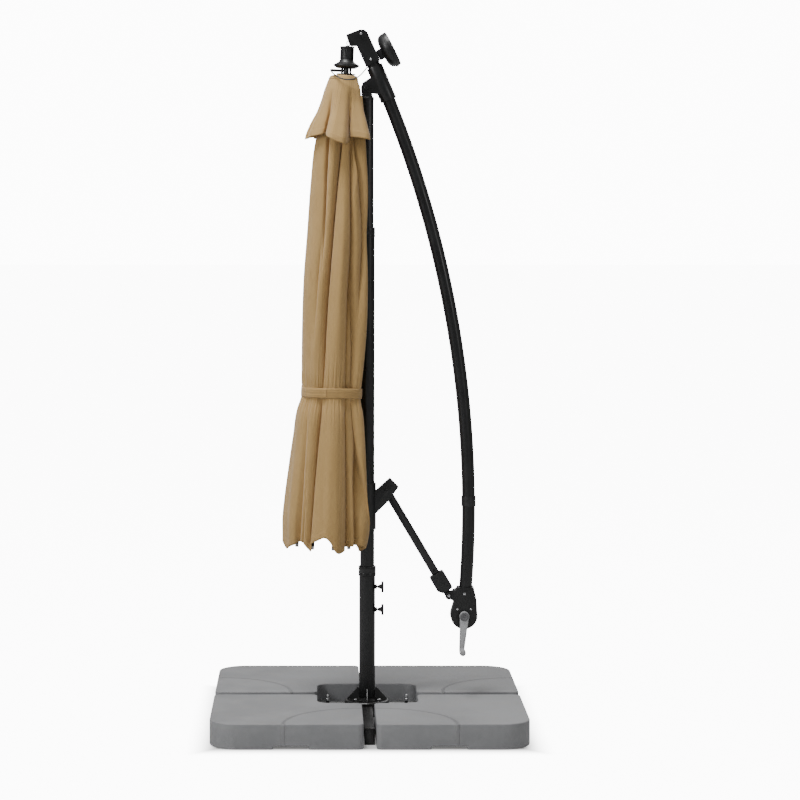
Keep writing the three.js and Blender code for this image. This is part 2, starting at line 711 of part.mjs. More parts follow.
// a lofted sheet between two ribs: ridge in the middle, valleys over the ribs
function clothShell(levels, ridge, valley, thick) {
  const turns = [-21.5, -9, 9, 21.5];
  const side = (level, inner) => turns.map((t) => {
    const share = Math.cos(rad(((Math.abs(t) - 9) / 12.5) * 90));
    const r = THREE.MathUtils.lerp(valley(level), ridge(level), share) - (inner ? thick : 0);
    return [r * Math.cos(rad(t)), r * Math.sin(rad(t)), level];
  });
  const rows = levels.map((w) => [...side(w, false), ...side(w, true).reverse()]);
  return loft(rows);
}

// a closed skin through rows of points; each row runs out along one face and back along the other
function loft(rows) {
  const n = rows[0].length;
  const last = (rows.length - 1) * n;
  const index = [];
  for (let j = 0; j < last; j += n) {
    for (let i = 0; i < n; i += 1) {
      const [a, b] = [j + i, j + ((i + 1) % n)];
      index.push(a, b, b + n, a, b + n, a + n);
    }
  }
  for (let i = 0; i < n / 2 - 1; i += 1) {
    const [a, b, c, d] = [i, i + 1, n - 2 - i, n - 1 - i];
    index.push(a, c, b, a, d, c, last + a, last + b, last + c, last + a, last + c, last + d);
  }
  const g = new THREE.BufferGeometry();
  g.setAttribute('position', new THREE.Float32BufferAttribute(rows.flat(2), 3));
  g.setIndex(index);
  return g;
}

// the upper layer flares out to its own hem, and the main cloth goes on below it
function goreGeometry() {
  const ventHem = -300;
  const clear = (w) => ribFaceRadius(w) + 7;
  const ridge = (w) => Math.max(w >= ventHem ? ventRadius(w) : bundleRadius(w), clear(w));
  const valley = (w) => Math.max(w >= ventHem ? 0.86 * ventRadius(w) : 0, clear(w));
  const levels = [-114, -143, -221, ventHem, -318, -450, -930, -1100, -1150, -1390, -1590];
  return clothShell(levels, ridge, valley, 4);
}

// the panel beside the mast hangs flat against it, between two ribs
function flatGoreGeometry() {
  const thick = 2.5;
  const lean = rad(CANOPY_LEAN);
  const rows = [-142, -300, -700, -1100, -1590].map((level) => {
    const x = (MAST_SIDE - CANOPY.x - level * Math.sin(lean)) / Math.cos(lean);
    const half = ribFaceRadius(level) * Math.sin(rad(22.5)) - 9;
    return [[x, -half, level], [x, half, level], [x - thick, half, level], [x - thick, -half, level]];
  });
  return loft(rows);
}

function tieStrap() {
  const half = 16.5;
  return ring(94.5, 92, STRAP_LEVEL - half, STRAP_LEVEL + half, 24);
}

// the lamp lead, from the arm to the socket's plug, drooping before the canopy's crown
function ledCable() {
  const route = [
    [3.9, -13.95, 2125.1], [-1.9, -19.3, 2122.5], [-11, -35, 2112], [-24, -50, 2097],
    [-40, -60, 2086], [-56, -63, 2082], [-74, -62, 2082], [-92, -55, 2088],
    [-107, -40, 2098], [-116, -24, 2107], [-118, -14, 2112.5], [-117.3, -5.1, 2114],
  ].map(([x, y, z]) => new THREE.Vector3(x, y, z));
  const circle = new THREE.Shape().absarc(0, 0, 2, 0, 2 * Math.PI, false);
  return new THREE.ExtrudeGeometry(circle, {
    extrudePath: new THREE.CatmullRomCurve3(route),
    steps: 20,
    curveSegments: 3,
  });
}

// ---------- assembly ----------

const umbrella = new THREE.Group();
const quadrants = { front_left: [-1, -1], front_right: [1, -1], rear_left: [-1, 1], rear_right: [1, 1] };
for (const [place, [sx, sy]] of Object.entries(quadrants)) {
  umbrella.add(mesh(`weight_${place}`, weightBlock(sx, sy), 'weight'));
}
umbrella.add(
  mesh('cross_base', crossBase(), 'steel'),
  mesh('mast_foot', mastFoot(), 'steel'),
  mesh('lower_pole', lowerPole(), 'steel'),
  mesh('thumb_screw_lower', thumbScrew(THUMB_SCREW_HEIGHTS[0]), 'plastic'),
  mesh('thumb_screw_upper', thumbScrew(THUMB_SCREW_HEIGHTS[1]), 'plastic'),
  mesh('mid_pole', midPole(), 'steel'),
  mesh('upper_pole', upperPole(), 'steel'),
  mesh('mast_top', mastTop(), 'plastic'),
  mesh('slider', slider(), 'plastic'),
  mesh('strut_bar', strutBar(), 'steel'),
  mesh('strut_end_block', strutBlock(), 'plastic'),
  mesh('arm_guide', armGuide(), 'steel'),
  mesh('arm_upper_tube', armTube(ARM_JOINT + 0.01, ARM_HIGH, 13), 'steel'),
  mesh('arm_lower_tube', armTube(ARM_LOW, ARM_JOINT - 0.01, 3), 'steel'),
  mesh('arm_joint_collar', armCollar(), 'plastic'),
  mesh('head_channel', headChannel(), 'steel'),
  mesh('crank_housing_front', housingHalf(-1), 'plastic'),
  mesh('crank_housing_rear', housingHalf(1), 'plastic'),
  mesh('cord_drum', cordDrum(), 'plastic'),
  mesh('crank_handle', crankHandle(), 'crank'),
  mesh('crank_grip', crankGrip(), 'crank'),
  mesh('lamp_housing', panelHousing(), 'plastic'),
  mesh('power_button', powerButton(), 'plastic'),
  mesh('led_cable', ledCable(), 'plastic'),
  canopy,
);

canopy.add(
  mesh('canopy_socket', canopySocket(), 'plastic'),
  mesh('eye_bolt', eyeBolt(), 'bright'),
  mesh('hub_crown', hubCrown(), 'plastic'),
  mesh('centre_pole', centrePole(), 'steel'),
  mesh('runner', runner(), 'plastic'),
  mesh('tie_strap', tieStrap(), 'fabric'),
);

const ribShape = ribGeometry();
const stretcherShape = stretcherGeometry();
const goreShape = goreGeometry();
const flatGoreShape = flatGoreGeometry();
for (let k = 1; k <= RIB_COUNT; k += 1) {
  const spoke = new THREE.Group();
  spoke.rotation.z = rad(45 * k - 22.5);
  const rib = mesh(`rib_${k}`, ribShape, 'steel');
  rib.position.set(HINGE_RADIUS, 0, HINGE_LEVEL);
  rib.rotation.y = -rad(RIB_FLARE);
  const stretcher = mesh(`stretcher_${k}`, stretcherShape, 'steel');
  stretcher.position.set(
    HINGE_RADIUS + STRETCHER * Math.sin(rad(RIB_FLARE)),
    0,
    HINGE_LEVEL - STRETCHER * Math.cos(rad(RIB_FLARE)),
  );
  stretcher.rotation.y = rad(RIB_FLARE);
  spoke.add(rib, stretcher);
  const gore = mesh(`gore_${k}`, k === RIB_COUNT ? flatGoreShape : goreShape, 'fabric');
  gore.rotation.z = rad(45 * k);
  canopy.add(spoke, gore);
}

export default umbrella;
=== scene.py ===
import json
import math

import bpy
import numpy as np
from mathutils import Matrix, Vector

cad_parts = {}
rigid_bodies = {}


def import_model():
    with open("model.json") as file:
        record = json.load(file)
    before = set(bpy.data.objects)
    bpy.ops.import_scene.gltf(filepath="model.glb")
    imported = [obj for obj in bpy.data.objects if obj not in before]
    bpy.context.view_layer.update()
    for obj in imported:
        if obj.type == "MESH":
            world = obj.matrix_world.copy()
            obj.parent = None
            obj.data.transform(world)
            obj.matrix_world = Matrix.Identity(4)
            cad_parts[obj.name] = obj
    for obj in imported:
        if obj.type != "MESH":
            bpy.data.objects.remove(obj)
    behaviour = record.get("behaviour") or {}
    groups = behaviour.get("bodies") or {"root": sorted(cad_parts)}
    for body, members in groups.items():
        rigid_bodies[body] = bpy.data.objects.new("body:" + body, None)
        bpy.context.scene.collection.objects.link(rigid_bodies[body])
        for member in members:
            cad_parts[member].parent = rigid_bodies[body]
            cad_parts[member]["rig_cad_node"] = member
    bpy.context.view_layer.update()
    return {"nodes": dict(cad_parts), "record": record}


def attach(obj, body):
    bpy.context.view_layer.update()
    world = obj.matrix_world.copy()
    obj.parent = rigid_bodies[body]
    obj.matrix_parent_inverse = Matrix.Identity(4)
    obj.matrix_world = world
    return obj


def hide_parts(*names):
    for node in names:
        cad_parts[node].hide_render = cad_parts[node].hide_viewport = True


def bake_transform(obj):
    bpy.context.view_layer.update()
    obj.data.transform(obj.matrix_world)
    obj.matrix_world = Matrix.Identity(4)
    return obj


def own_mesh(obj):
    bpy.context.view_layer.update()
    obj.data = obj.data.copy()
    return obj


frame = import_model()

MM = 0.001

# ---------- camera ----------

camera_data = bpy.data.cameras.new("camera")
camera_data.sensor_width = 36
camera_data.lens = 114.35
camera_data.shift_x = 0.105
camera_data.shift_y = -0.06
camera = bpy.data.objects.new("camera", camera_data)
camera.location = (-0.1675, -8.26, 1.69)
camera.rotation_euler = (math.radians(90 - 3.386), 0, 0)
bpy.context.scene.collection.objects.link(camera)
bpy.context.scene.camera = camera


# ---------- sheets and cords are built point by point ----------

def deselect():
    if bpy.context.object and bpy.context.object.mode != "OBJECT":
        bpy.ops.object.mode_set(mode="OBJECT")
    bpy.ops.object.select_all(action="DESELECT")


def grid_piece(name, rows, closed=False, uv=None, edge_uv=None):
    """A sheet from rows of points; closed joins each row's end to its start."""
    rows = np.asarray(rows, float)
    tall, wide = rows.shape[:2]
    faces = []
    for j in range(tall - 1):
        for i in range(wide if closed else wide - 1):
            a, b = j * wide + i, j * wide + (i + 1) % wide
            faces.append((a, b, b + wide, a + wide))
    mesh = bpy.data.meshes.new(name)
    mesh.from_pydata(rows.reshape(-1, 3).tolist(), [], faces)
    for layer, values in (("cloth", uv), ("edges", edge_uv)):
        if values is not None:
            flat = np.asarray(values, float).reshape(-1, 2)
            data = mesh.uv_layers.new(name=layer).data
            for loop in mesh.loops:
                data[loop.index].uv = flat[loop.vertex_index]
    piece = bpy.data.objects.new(name, mesh)
    bpy.context.scene.collection.objects.link(piece)
    for face in mesh.polygons:
        face.use_smooth = True
    return piece


def smooth_route(points, per_span):
    """A Catmull-Rom line through the points."""
    p = [np.array(q, float) for q in points]
    p = [2 * p[0] - p[1]] + p + [2 * p[-1] - p[-2]]
    route = []
    for i in range(1, len(p) - 2):
        a, b, c, d = p[i - 1 : i + 3]
        for t in np.arange(per_span) / per_span:
            route.append(
                0.5 * (2 * b + (c - a) * t + (2 * a - 5 * b + 4 * c - d) * t**2
                       + (3 * b - a - 3 * c + d) * t**3)
            )
    return np.array(route + [p[-2]])


def tube_along(name, route, radius, sides=16):
    tangents = np.gradient(route, axis=0)
    tangents /= np.linalg.norm(tangents, axis=1)[:, None]
    side = np.cross(tangents[0], (0, 0, 1.0))
    side /= np.linalg.norm(side)
    rows = []
    for point, tangent in zip(route, tangents):
        side = side - tangent * (side @ tangent)
        side /= np.linalg.norm(side)
        up = np.cross(tangent, side)
        turn = np.linspace(0, 2 * np.pi, sides, endpoint=False)
        rows.append([point + radius * (np.cos(t) * side + np.sin(t) * up) for t in turn])
    rows.insert(0, [route[0]] * sides)
    rows.append([route[-1]] * sides)
    piece = grid_piece(name, rows, closed=True)
    return cleaned(piece)


def cleaned(piece, angle=None):
    """Merges doubles and turns the faces outwards."""
    deselect()
    bpy.context.view_layer.objects.active = piece
    piece.select_set(True)
    bpy.ops.object.mode_set(mode="EDIT")
    bpy.ops.mesh.select_all(action="SELECT")
    bpy.ops.mesh.remove_doubles(threshold=1e-6)
    bpy.ops.mesh.normals_make_consistent(inside=False)
    bpy.ops.object.mode_set(mode="OBJECT")
    if angle is not None:
        bpy.ops.object.shade_smooth_by_angle(angle=math.radians(angle))
    deselect()
    return piece


LEAD_ROUTE = [
    (3.9, -13.95, 2125.1), (-1.9, -19.3, 2122.5), (-11, -35, 2112), (-24, -50, 2097),
    (-40, -60, 2086), (-56, -63, 2082), (-74, -62, 2082), (-92, -55, 2088),
    (-107, -40, 2098), (-116, -24, 2107), (-118, -14, 2112.5), (-117.3, -5.1, 2114),
]
lead_path = smooth_route(np.array(LEAD_ROUTE) * MM, 4)
lead = tube_along("lamp_lead", lead_path, 2 * MM)
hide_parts("led_cable")


# ---------- modelling helpers ----------

def active_mesh(name):
    piece = bpy.context.object
    piece.name = name
    piece.data.name = name
    return piece


def apply_place(piece):
    deselect()
    bpy.context.view_layer.objects.active = piece
    piece.select_set(True)
    bpy.ops.object.transform_apply(location=True, rotation=True, scale=True)
    deselect()
    return piece


def placed(piece, location=(0, 0, 0), rotation=(0, 0, 0)):
    piece.location = location
    piece.rotation_euler = [math.radians(a) for a in rotation]
    return apply_place(piece)


def apply_modifiers(piece):
    deselect()
    bpy.context.view_layer.objects.active = piece
    piece.select_set(True)
    for modifier in list(piece.modifiers):
        bpy.ops.object.modifier_apply(modifier=modifier.name)
    deselect()
    return piece


def softened(piece, width, segments=3, angle=32, smooth=38):
    """Rounds the sharp edges, then shades by angle."""
    bevel = piece.modifiers.new("edge_round", "BEVEL")
    bevel.width = width
    bevel.segments = segments
    bevel.limit_method = "ANGLE"
    bevel.angle_limit = math.radians(angle)
    bevel.use_clamp_overlap = True
    apply_modifiers(piece)
    deselect()
    bpy.context.view_layer.objects.active = piece
    piece.select_set(True)
    bpy.ops.object.shade_smooth_by_angle(angle=math.radians(smooth))
    deselect()
    return piece


def turned(name, profile, sides=64, closed=False, smooth=35):
    """Turns (radius, height) steps round Z: a circle is extruded and resized step by step, in mm."""
    deselect()
    r0, z0 = profile[0]
    bpy.ops.mesh.primitive_circle_add(vertices=sides, radius=max(r0, 0.01) * MM, location=(0, 0, z0 * MM))
    piece = active_mesh(name)
    bpy.ops.object.transform_apply(location=True, rotation=False, scale=False)
    bpy.ops.object.mode_set(mode="EDIT")
    bpy.ops.mesh.select_all(action="SELECT")
    last = max(r0, 0.01)
    for (_, za), (r, z) in zip(profile, profile[1:]):
        bpy.ops.mesh.extrude_region_move(TRANSFORM_OT_translate={"value": (0, 0, (z - za) * MM)})
        k = max(r, 0.01) / last
        bpy.ops.transform.resize(value=(k, k, 1), center_override=(0, 0, z * MM))
        last = max(r, 0.01)
    bpy.ops.mesh.select_all(action="SELECT")
    bpy.ops.mesh.remove_doubles(threshold=2e-5)
    if not closed:
        bpy.ops.mesh.select_all(action="DESELECT")
        bpy.ops.mesh.select_mode(type="EDGE")
        bpy.ops.mesh.select_non_manifold()
        bpy.ops.mesh.edge_face_add()
    bpy.ops.mesh.select_all(action="SELECT")
    bpy.ops.mesh.normals_make_consistent(inside=False)
    bpy.ops.object.mode_set(mode="OBJECT")
    bpy.ops.object.shade_smooth_by_angle(angle=math.radians(smooth))
    deselect()
    return piece


def refined(node, width, segments=2, angle=32):
    """A copy of a CAD node, merged and with its edges rounded."""
    source = frame["nodes"][node]
    copy = source.copy()
    copy.data = source.data.copy()
    copy.parent = None
    for key in list(copy.keys()):
        del copy[key]
    copy.name = node + "_finished"
    copy.data.name = copy.name
    bpy.context.scene.collection.objects.link(copy)
    deselect()
    bpy.context.view_layer.objects.active = copy
    copy.select_set(True)
    bpy.ops.object.mode_set(mode="EDIT")
    bpy.ops.mesh.select_all(action="SELECT")
    bpy.ops.mesh.remove_doubles(threshold=2e-6)
    bpy.ops.mesh.dissolve_limited(angle_limit=math.radians(1.0))
    bpy.ops.object.mode_set(mode="OBJECT")
    softened(copy, width, segments, angle)
    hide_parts(node)
    return copy


def joined(name, pieces):
    deselect()
    for piece in pieces:
        piece.select_set(True)
    bpy.context.view_layer.objects.active = pieces[0]
    bpy.ops.object.join()
    piece = active_mesh(name)
    deselect()
    return piece


def copied(piece, name):
    copy = piece.copy()
    copy.data = piece.data.copy()
    copy.name = name
    copy.data.name = name
    bpy.context.scene.collection.objects.link(copy)
    return copy


def rounded_box(name, low, high, width, segments=3):
    deselect()
    low, high = Vector(low) * MM, Vector(high) * MM
    bpy.ops.mesh.primitive_cube_add(size=1, location=(low + high) / 2)
    piece = active_mesh(name)
    piece.scale = high - low
    apply_place(piece)
    return softened(piece, width * MM, segments) if width else piece


def carved(piece, tool, operation="DIFFERENCE"):
    cut = piece.modifiers.new("cut", "BOOLEAN")
    cut.operation = operation
    cut.object = tool
    cut.solver = "EXACT"
    apply_modifiers(piece)
    bpy.data.objects.remove(tool)
    return piece


def round_upright_edges(piece, choose, width, segments):
    """Rounds the upright edges that choose(x, y) picks."""
    deselect()
    bpy.context.view_layer.objects.active = piece
    piece.select_set(True)
    bpy.ops.object.mode_set(mode="EDIT")
    bpy.ops.mesh.select_mode(type="EDGE")
    bpy.ops.mesh.select_all(action="DESELECT")
    bpy.ops.object.mode_set(mode="OBJECT")
    mesh = piece.data
    for edge in mesh.edges:
        a, b = (mesh.vertices[i].co for i in edge.vertices)
        if (a.xy - b.xy).length < 1e-5 and abs(a.z - b.z) > 0.02:
            edge.select = bool(choose(a.x, a.y))
    bpy.ops.object.mode_set(mode="EDIT")
    bpy.ops.mesh.bevel(offset=width, offset_type="OFFSET", segments=segments, affect="EDGES")
    bpy.ops.object.mode_set(mode="OBJECT")
    deselect()
    return piece


# ---------- material groups ----------

def group(name, inputs, outputs):
    tree = bpy.data.node_groups.new(name, "ShaderNodeTree")
    for label, kind, value in inputs:
        socket = tree.interface.new_socket(label, in_out="INPUT", socket_type=kind)
        if value is not None:
            socket.default_value = value
    for label, kind in outputs:
        tree.interface.new_socket(label, in_out="OUTPUT", socket_type=kind)
    return tree, tree.nodes.new("NodeGroupInput"), tree.nodes.new("NodeGroupOutput")


def wire(tree, kind, inputs=None, **settings):
    """A node with its settings; inputs are sockets to link or values to set."""
    node = tree.nodes.new(kind)
    for key, value in settings.items():
        setattr(node, key, value)
    for key, value in (inputs or {}).items():
        socket = node.inputs[key]
        if isinstance(value, bpy.types.NodeSocket):
            tree.links.new(value, socket)
        else:
            socket.default_value = value
    return node


def sums(tree, operation, a, b=0.0, c=None, clamp=False):
    inputs = {0: a, 1: b}
    if c is not None:
        inputs[2] = c
    return wire(tree, "ShaderNodeMath", inputs, operation=operation, use_clamp=clamp).outputs[0]


def ramp(tree, value, low, high):
    """0 below low, 1 above high."""
    node = wire(tree, "ShaderNodeMapRange", {"Value": value, "From Min": low, "From Max": high},
                interpolation_type="SMOOTHSTEP")
    return node.outputs["Result"]


def noise(tree, vector, scale, detail=3.0, rough=0.55):
    node = wire(tree, "ShaderNodeTexNoise", {"Vector": vector, "Scale": scale, "Detail": detail,
                                            "Roughness": rough})
    return node.outputs["Fac"]


def make_grain():
    tree, start, end = group("moulded_grain", [("Vector", "NodeSocketVector", None),
                                               ("Grains per metre", "NodeSocketFloat", 900.0)],
                             [("Height", "NodeSocketFloat"), ("Patches", "NodeSocketFloat")])
    fine = noise(tree, start.outputs["Vector"], start.outputs["Grains per metre"], 4.0, 0.6)
    cells = wire(tree, "ShaderNodeTexVoronoi", {"Vector": start.outputs["Vector"],
                                               "Scale": start.outputs["Grains per metre"]})
    height = sums(tree, "MULTIPLY_ADD", cells.outputs["Distance"], 0.6, fine)
    patches = ramp(tree, noise(tree, start.outputs["Vector"], 9.0, 4.0), 0.35, 0.7)
    tree.links.new(height, end.inputs["Height"])
    tree.links.new(patches, end.inputs["Patches"])
    return tree


def make_dust():
    tree, start, end = group("settled_dust", [("Vector", "NodeSocketVector", None),
                                              ("Amount", "NodeSocketFloat", 0.3)],
                             [("Mask", "NodeSocketFloat")])
    normal = wire(tree, "ShaderNodeSeparateXYZ", {0: wire(tree, "ShaderNodeNewGeometry").outputs["Normal"]})
    upward = ramp(tree, normal.outputs["Z"], 0.2, 0.95)
    cloud = ramp(tree, noise(tree, start.outputs["Vector"], 22.0, 5.0, 0.65), 0.4, 0.75)
    specks = ramp(tree, noise(tree, start.outputs["Vector"], 420.0, 2.0), 0.62, 0.72)
    both = sums(tree, "MULTIPLY_ADD", specks, 0.5, cloud)
    mask = sums(tree, "MULTIPLY", sums(tree, "MULTIPLY", both, upward), start.outputs["Amount"], clamp=True)
    tree.links.new(mask, end.inputs["Mask"])
    return tree


def make_wear():
    tree, start, end = group("edge_wear", [("Vector", "NodeSocketVector", None),
                                           ("Amount", "NodeSocketFloat", 0.3)],
                             [("Mask", "NodeSocketFloat")])
    point = wire(tree, "ShaderNodeNewGeometry").outputs["Pointiness"]
    edge = ramp(tree, point, 0.53, 0.62)
    broken = ramp(tree, noise(tree, start.outputs["Vector"], 160.0, 4.0, 0.7), 0.42, 0.62)
    mask = sums(tree, "MULTIPLY", sums(tree, "MULTIPLY", edge, broken), start.outputs["Amount"], clamp=True)
    tree.links.new(mask, end.inputs["Mask"])
    return tree


def make_weave():
    """Plain weave on a sheet's own map, in metres, with a slub that varies from thread to thread."""
    tree, start, end = group("plain_weave", [("Map", "NodeSocketVector", None),
                                             ("Threads per metre", "NodeSocketFloat", 1500.0)],
                             [("Height", "NodeSocketFloat"), ("Slub", "NodeSocketFloat"),
                              ("Thread", "NodeSocketFloat")])
    parts = wire(tree, "ShaderNodeSeparateXYZ", {0: start.outputs["Map"]})
    waves = []
    for axis in ("X", "Y"):
        turns = sums(tree, "MULTIPLY", parts.outputs[axis], start.outputs["Threads per metre"])
        waves.append(sums(tree, "SINE", sums(tree, "MULTIPLY", turns, math.pi)))
    over = sums(tree, "MULTIPLY", waves[0], waves[1])
    height = sums(tree, "MULTIPLY_ADD", over, 0.5, 0.5)
    warp = wire(tree, "ShaderNodeMapping", {"Vector": start.outputs["Map"], "Scale": (900.0, 14.0, 1.0)})
    weft = wire(tree, "ShaderNodeMapping", {"Vector": start.outputs["Map"], "Scale": (14.0, 900.0, 1.0)})
    slub = sums(tree, "MULTIPLY_ADD", noise(tree, warp.outputs[0], 1.0, 2.0), 0.5,
                sums(tree, "MULTIPLY", noise(tree, weft.outputs[0], 1.0, 2.0), 0.5))
    tree.links.new(height, end.inputs["Height"])
    tree.links.new(slub, end.inputs["Slub"])
    tree.links.new(over, end.inputs["Thread"])
    return tree


def make_stitches():
    """Rows of stitches beside the seams and the hem; the map holds the distance from each, in metres."""
    tree, start, end = group("stitch_rows", [("Edges", "NodeSocketVector", None),
                                             ("Map", "NodeSocketVector", None)],
                             [("Ridge", "NodeSocketFloat"), ("Thread", "NodeSocketFloat")])
    edges = wire(tree, "ShaderNodeSeparateXYZ", {0: start.outputs["Edges"]})
    place = wire(tree, "ShaderNodeSeparateXYZ", {0: start.outputs["Map"]})
    ridge = None
    thread = None
    for side, along, rows, wide in (("X", "Y", (0.004, 0.011), 0.013), ("Y", "X", (0.004, 0.020), 0.024)):
        fold = sums(tree, "SUBTRACT", 1.0, ramp(tree, edges.outputs[side], wide - 0.0012, wide))
        ridge = fold if ridge is None else sums(tree, "MAXIMUM", ridge, fold)
        dash = ramp(tree, sums(tree, "SINE", sums(tree, "MULTIPLY", place.outputs[along], 2 * math.pi / 0.0032)),
                    -0.4, 0.2)
        for row in rows:
            near = sums(tree, "ABSOLUTE", sums(tree, "SUBTRACT", edges.outputs[side], row))
            line = sums(tree, "MULTIPLY", sums(tree, "SUBTRACT", 1.0, ramp(tree, near, 0.0003, 0.0007)), dash)
            thread = line if thread is None else sums(tree, "MAXIMUM", thread, line)
    tree.links.new(ridge, end.inputs["Ridge"])
    tree.links.new(thread, end.inputs["Thread"])
    return tree


GRAIN, DUST, WEAR, WEAVE, STITCH = make_grain(), make_dust(), make_wear(), make_weave(), make_stitches()


def use_group(tree, source, inputs):
    node = wire(tree, "ShaderNodeGroup", node_tree=source)
    for key, value in inputs.items():
        if isinstance(value, bpy.types.NodeSocket):
            tree.links.new(value, node.inputs[key])
        else:
            node.inputs[key].default_value = value
    return node


def mixed(tree, factor, a, b):
    node = wire(tree, "ShaderNodeMix", data_type="RGBA")
    tree.links.new(factor, node.inputs["Factor"])
    for label, value in (("A", a), ("B", b)):
        socket = [s for s in node.inputs if s.name == label and s.type == "RGBA"][0]
        if isinstance(value, bpy.types.NodeSocket):
            tree.links.new(value, socket)
        else:
            socket.default_value = (*value, 1)
    return [s for s in node.outputs if s.type == "RGBA"][0]


def blank(name):
    material = bpy.data.materials.new(name)
    material.use_nodes = True
    tree = material.node_tree
    shader = tree.nodes["Principled BSDF"]
    return material, tree, shader


def bumped(tree, shader, height, distance, strength=1.0):
    bump = wire(tree, "ShaderNodeBump", {"Height": height, "Distance": distance, "Strength": strength})
    tree.links.new(bump.outputs["Normal"], shader.inputs["Normal"])


def hard_finish(name, dark, light, rough, grains, depth, metallic=0.0, wear=0.2, worn=(0.1, 0.1, 0.1),
                dust=0.25, coat=0.0):
    """A painted or moulded finish: grain, patches, dust on top faces and worn edges."""
    material, tree, shader = blank(name)
    place = wire(tree, "ShaderNodeTexCoord").outputs["Object"]
    grain = use_group(tree, GRAIN, {"Vector": place, "Grains per metre": grains})
    dusty = use_group(tree, DUST, {"Vector": place, "Amount": dust}).outputs["Mask"]
    edge = use_group(tree, WEAR, {"Vector": place, "Amount": wear}).outputs["Mask"]
    colour = mixed(tree, grain.outputs["Patches"], dark, light)
    colour = mixed(tree, edge, colour, worn)
    colour = mixed(tree, dusty, colour, (0.30, 0.28, 0.25))
    tree.links.new(colour, shader.inputs["Base Color"])
    roughness = sums(tree, "MULTIPLY_ADD", grain.outputs["Patches"], 0.10, rough)
    roughness = sums(tree, "MULTIPLY_ADD", dusty, 0.3, roughness, clamp=True)
    tree.links.new(roughness, shader.inputs["Roughness"])
    shader.inputs["Metallic"].default_value = metallic
    shader.inputs["Coat Weight"].default_value = coat
    shader.inputs["Coat Roughness"].default_value = 0.25
    bumped(tree, shader, grain.outputs["Height"], depth)
    return material


def shell_finish():
    """The grey weight shells: hard finish with a raised arc moulded on each top, the arc's line painted darker as
    shade.
    """
    material = hard_finish("grey_shell", (0.205, 0.208, 0.215), (0.24, 0.243, 0.25), 0.55, 700.0, 0.00012,
                           wear=0.25, worn=(0.34, 0.34, 0.35), dust=0.22)
    tree = material.node_tree
    shader = tree.nodes["Principled BSDF"]
    place = wire(tree, "ShaderNodeSeparateXYZ", {0: wire(tree, "ShaderNodeTexCoord").outputs["Object"]})
    across = sums(tree, "ABSOLUTE", place.outputs["X"])
    front = sums(tree, "LESS_THAN", place.outputs["Y"], 0.0)
    rear = sums(tree, "SUBTRACT", 1.0, front)
    arcs = []
    for cx, cy in ((0.02, -0.5), (0.5, 0.02)):
        dx = sums(tree, "SUBTRACT", across, cx)
        dy = sums(tree, "SUBTRACT", place.outputs["Y"], cy)
        reach = sums(tree, "SQRT", sums(tree, "ADD", sums(tree, "MULTIPLY", dx, dx), sums(tree, "MULTIPLY", dy, dy)))
        arcs.append(reach)
    reach = sums(tree, "ADD", sums(tree, "MULTIPLY", arcs[0], front), sums(tree, "MULTIPLY", arcs[1], rear))
    off = sums(tree, "ABSOLUTE", sums(tree, "SUBTRACT", reach, 0.25))
    band = sums(tree, "SUBTRACT", 1.0, ramp(tree, off, 0.003, 0.007))
    plate = sums(tree, "MULTIPLY", ramp(tree, sums(tree, "SUBTRACT", 0.25, reach), -0.003, 0.003), 0.5)
    grain = [n for n in tree.nodes if n.bl_idname == "ShaderNodeGroup" and n.node_tree == GRAIN][0]
    height = sums(tree, "MULTIPLY_ADD", sums(tree, "ADD", band, plate), 16.0, grain.outputs["Height"])
    bump = [n for n in tree.nodes if n.bl_idname == "ShaderNodeBump"][0]
    tree.links.new(height, bump.inputs["Height"])
    colour = shader.inputs["Base Color"].links[0].from_socket
    # painted shade: the arc's line is painted dark on the top faces, standing in for the shade along the raised arc
    upright = wire(tree, "ShaderNodeSeparateXYZ", {0: wire(tree, "ShaderNodeNewGeometry").outputs["Normal"]})
    line = sums(tree, "SUBTRACT", ramp(tree, upright.outputs["Z"], 0.8, 0.95),
                ramp(tree, off, 0.0015, 0.006), clamp=True)
    tree.links.new(mixed(tree, sums(tree, "MULTIPLY", line, 0.55), colour, (0.10, 0.10, 0.105)),
                   shader.inputs["Base Color"])
    return material


def steel_finish():
    material, tree, shader = blank("bright_steel")
    place = wire(tree, "ShaderNodeTexCoord").outputs["Object"]
    drawn = wire(tree, "ShaderNodeMapping", {"Vector": place, "Scale": (1.0, 1.0, 0.06)}).outputs[0]
    lines = noise(tree, drawn, 1400.0, 3.0)
    tree.links.new(mixed(tree, lines, (0.48, 0.48, 0.49), (0.68, 0.68, 0.69)), shader.inputs["Base Color"])
    tree.links.new(sums(tree, "MULTIPLY_ADD", lines, 0.25, 0.18), shader.inputs["Roughness"])
    shader.inputs["Metallic"].default_value = 1.0
    bumped(tree, shader, lines, 0.00002)
    return material


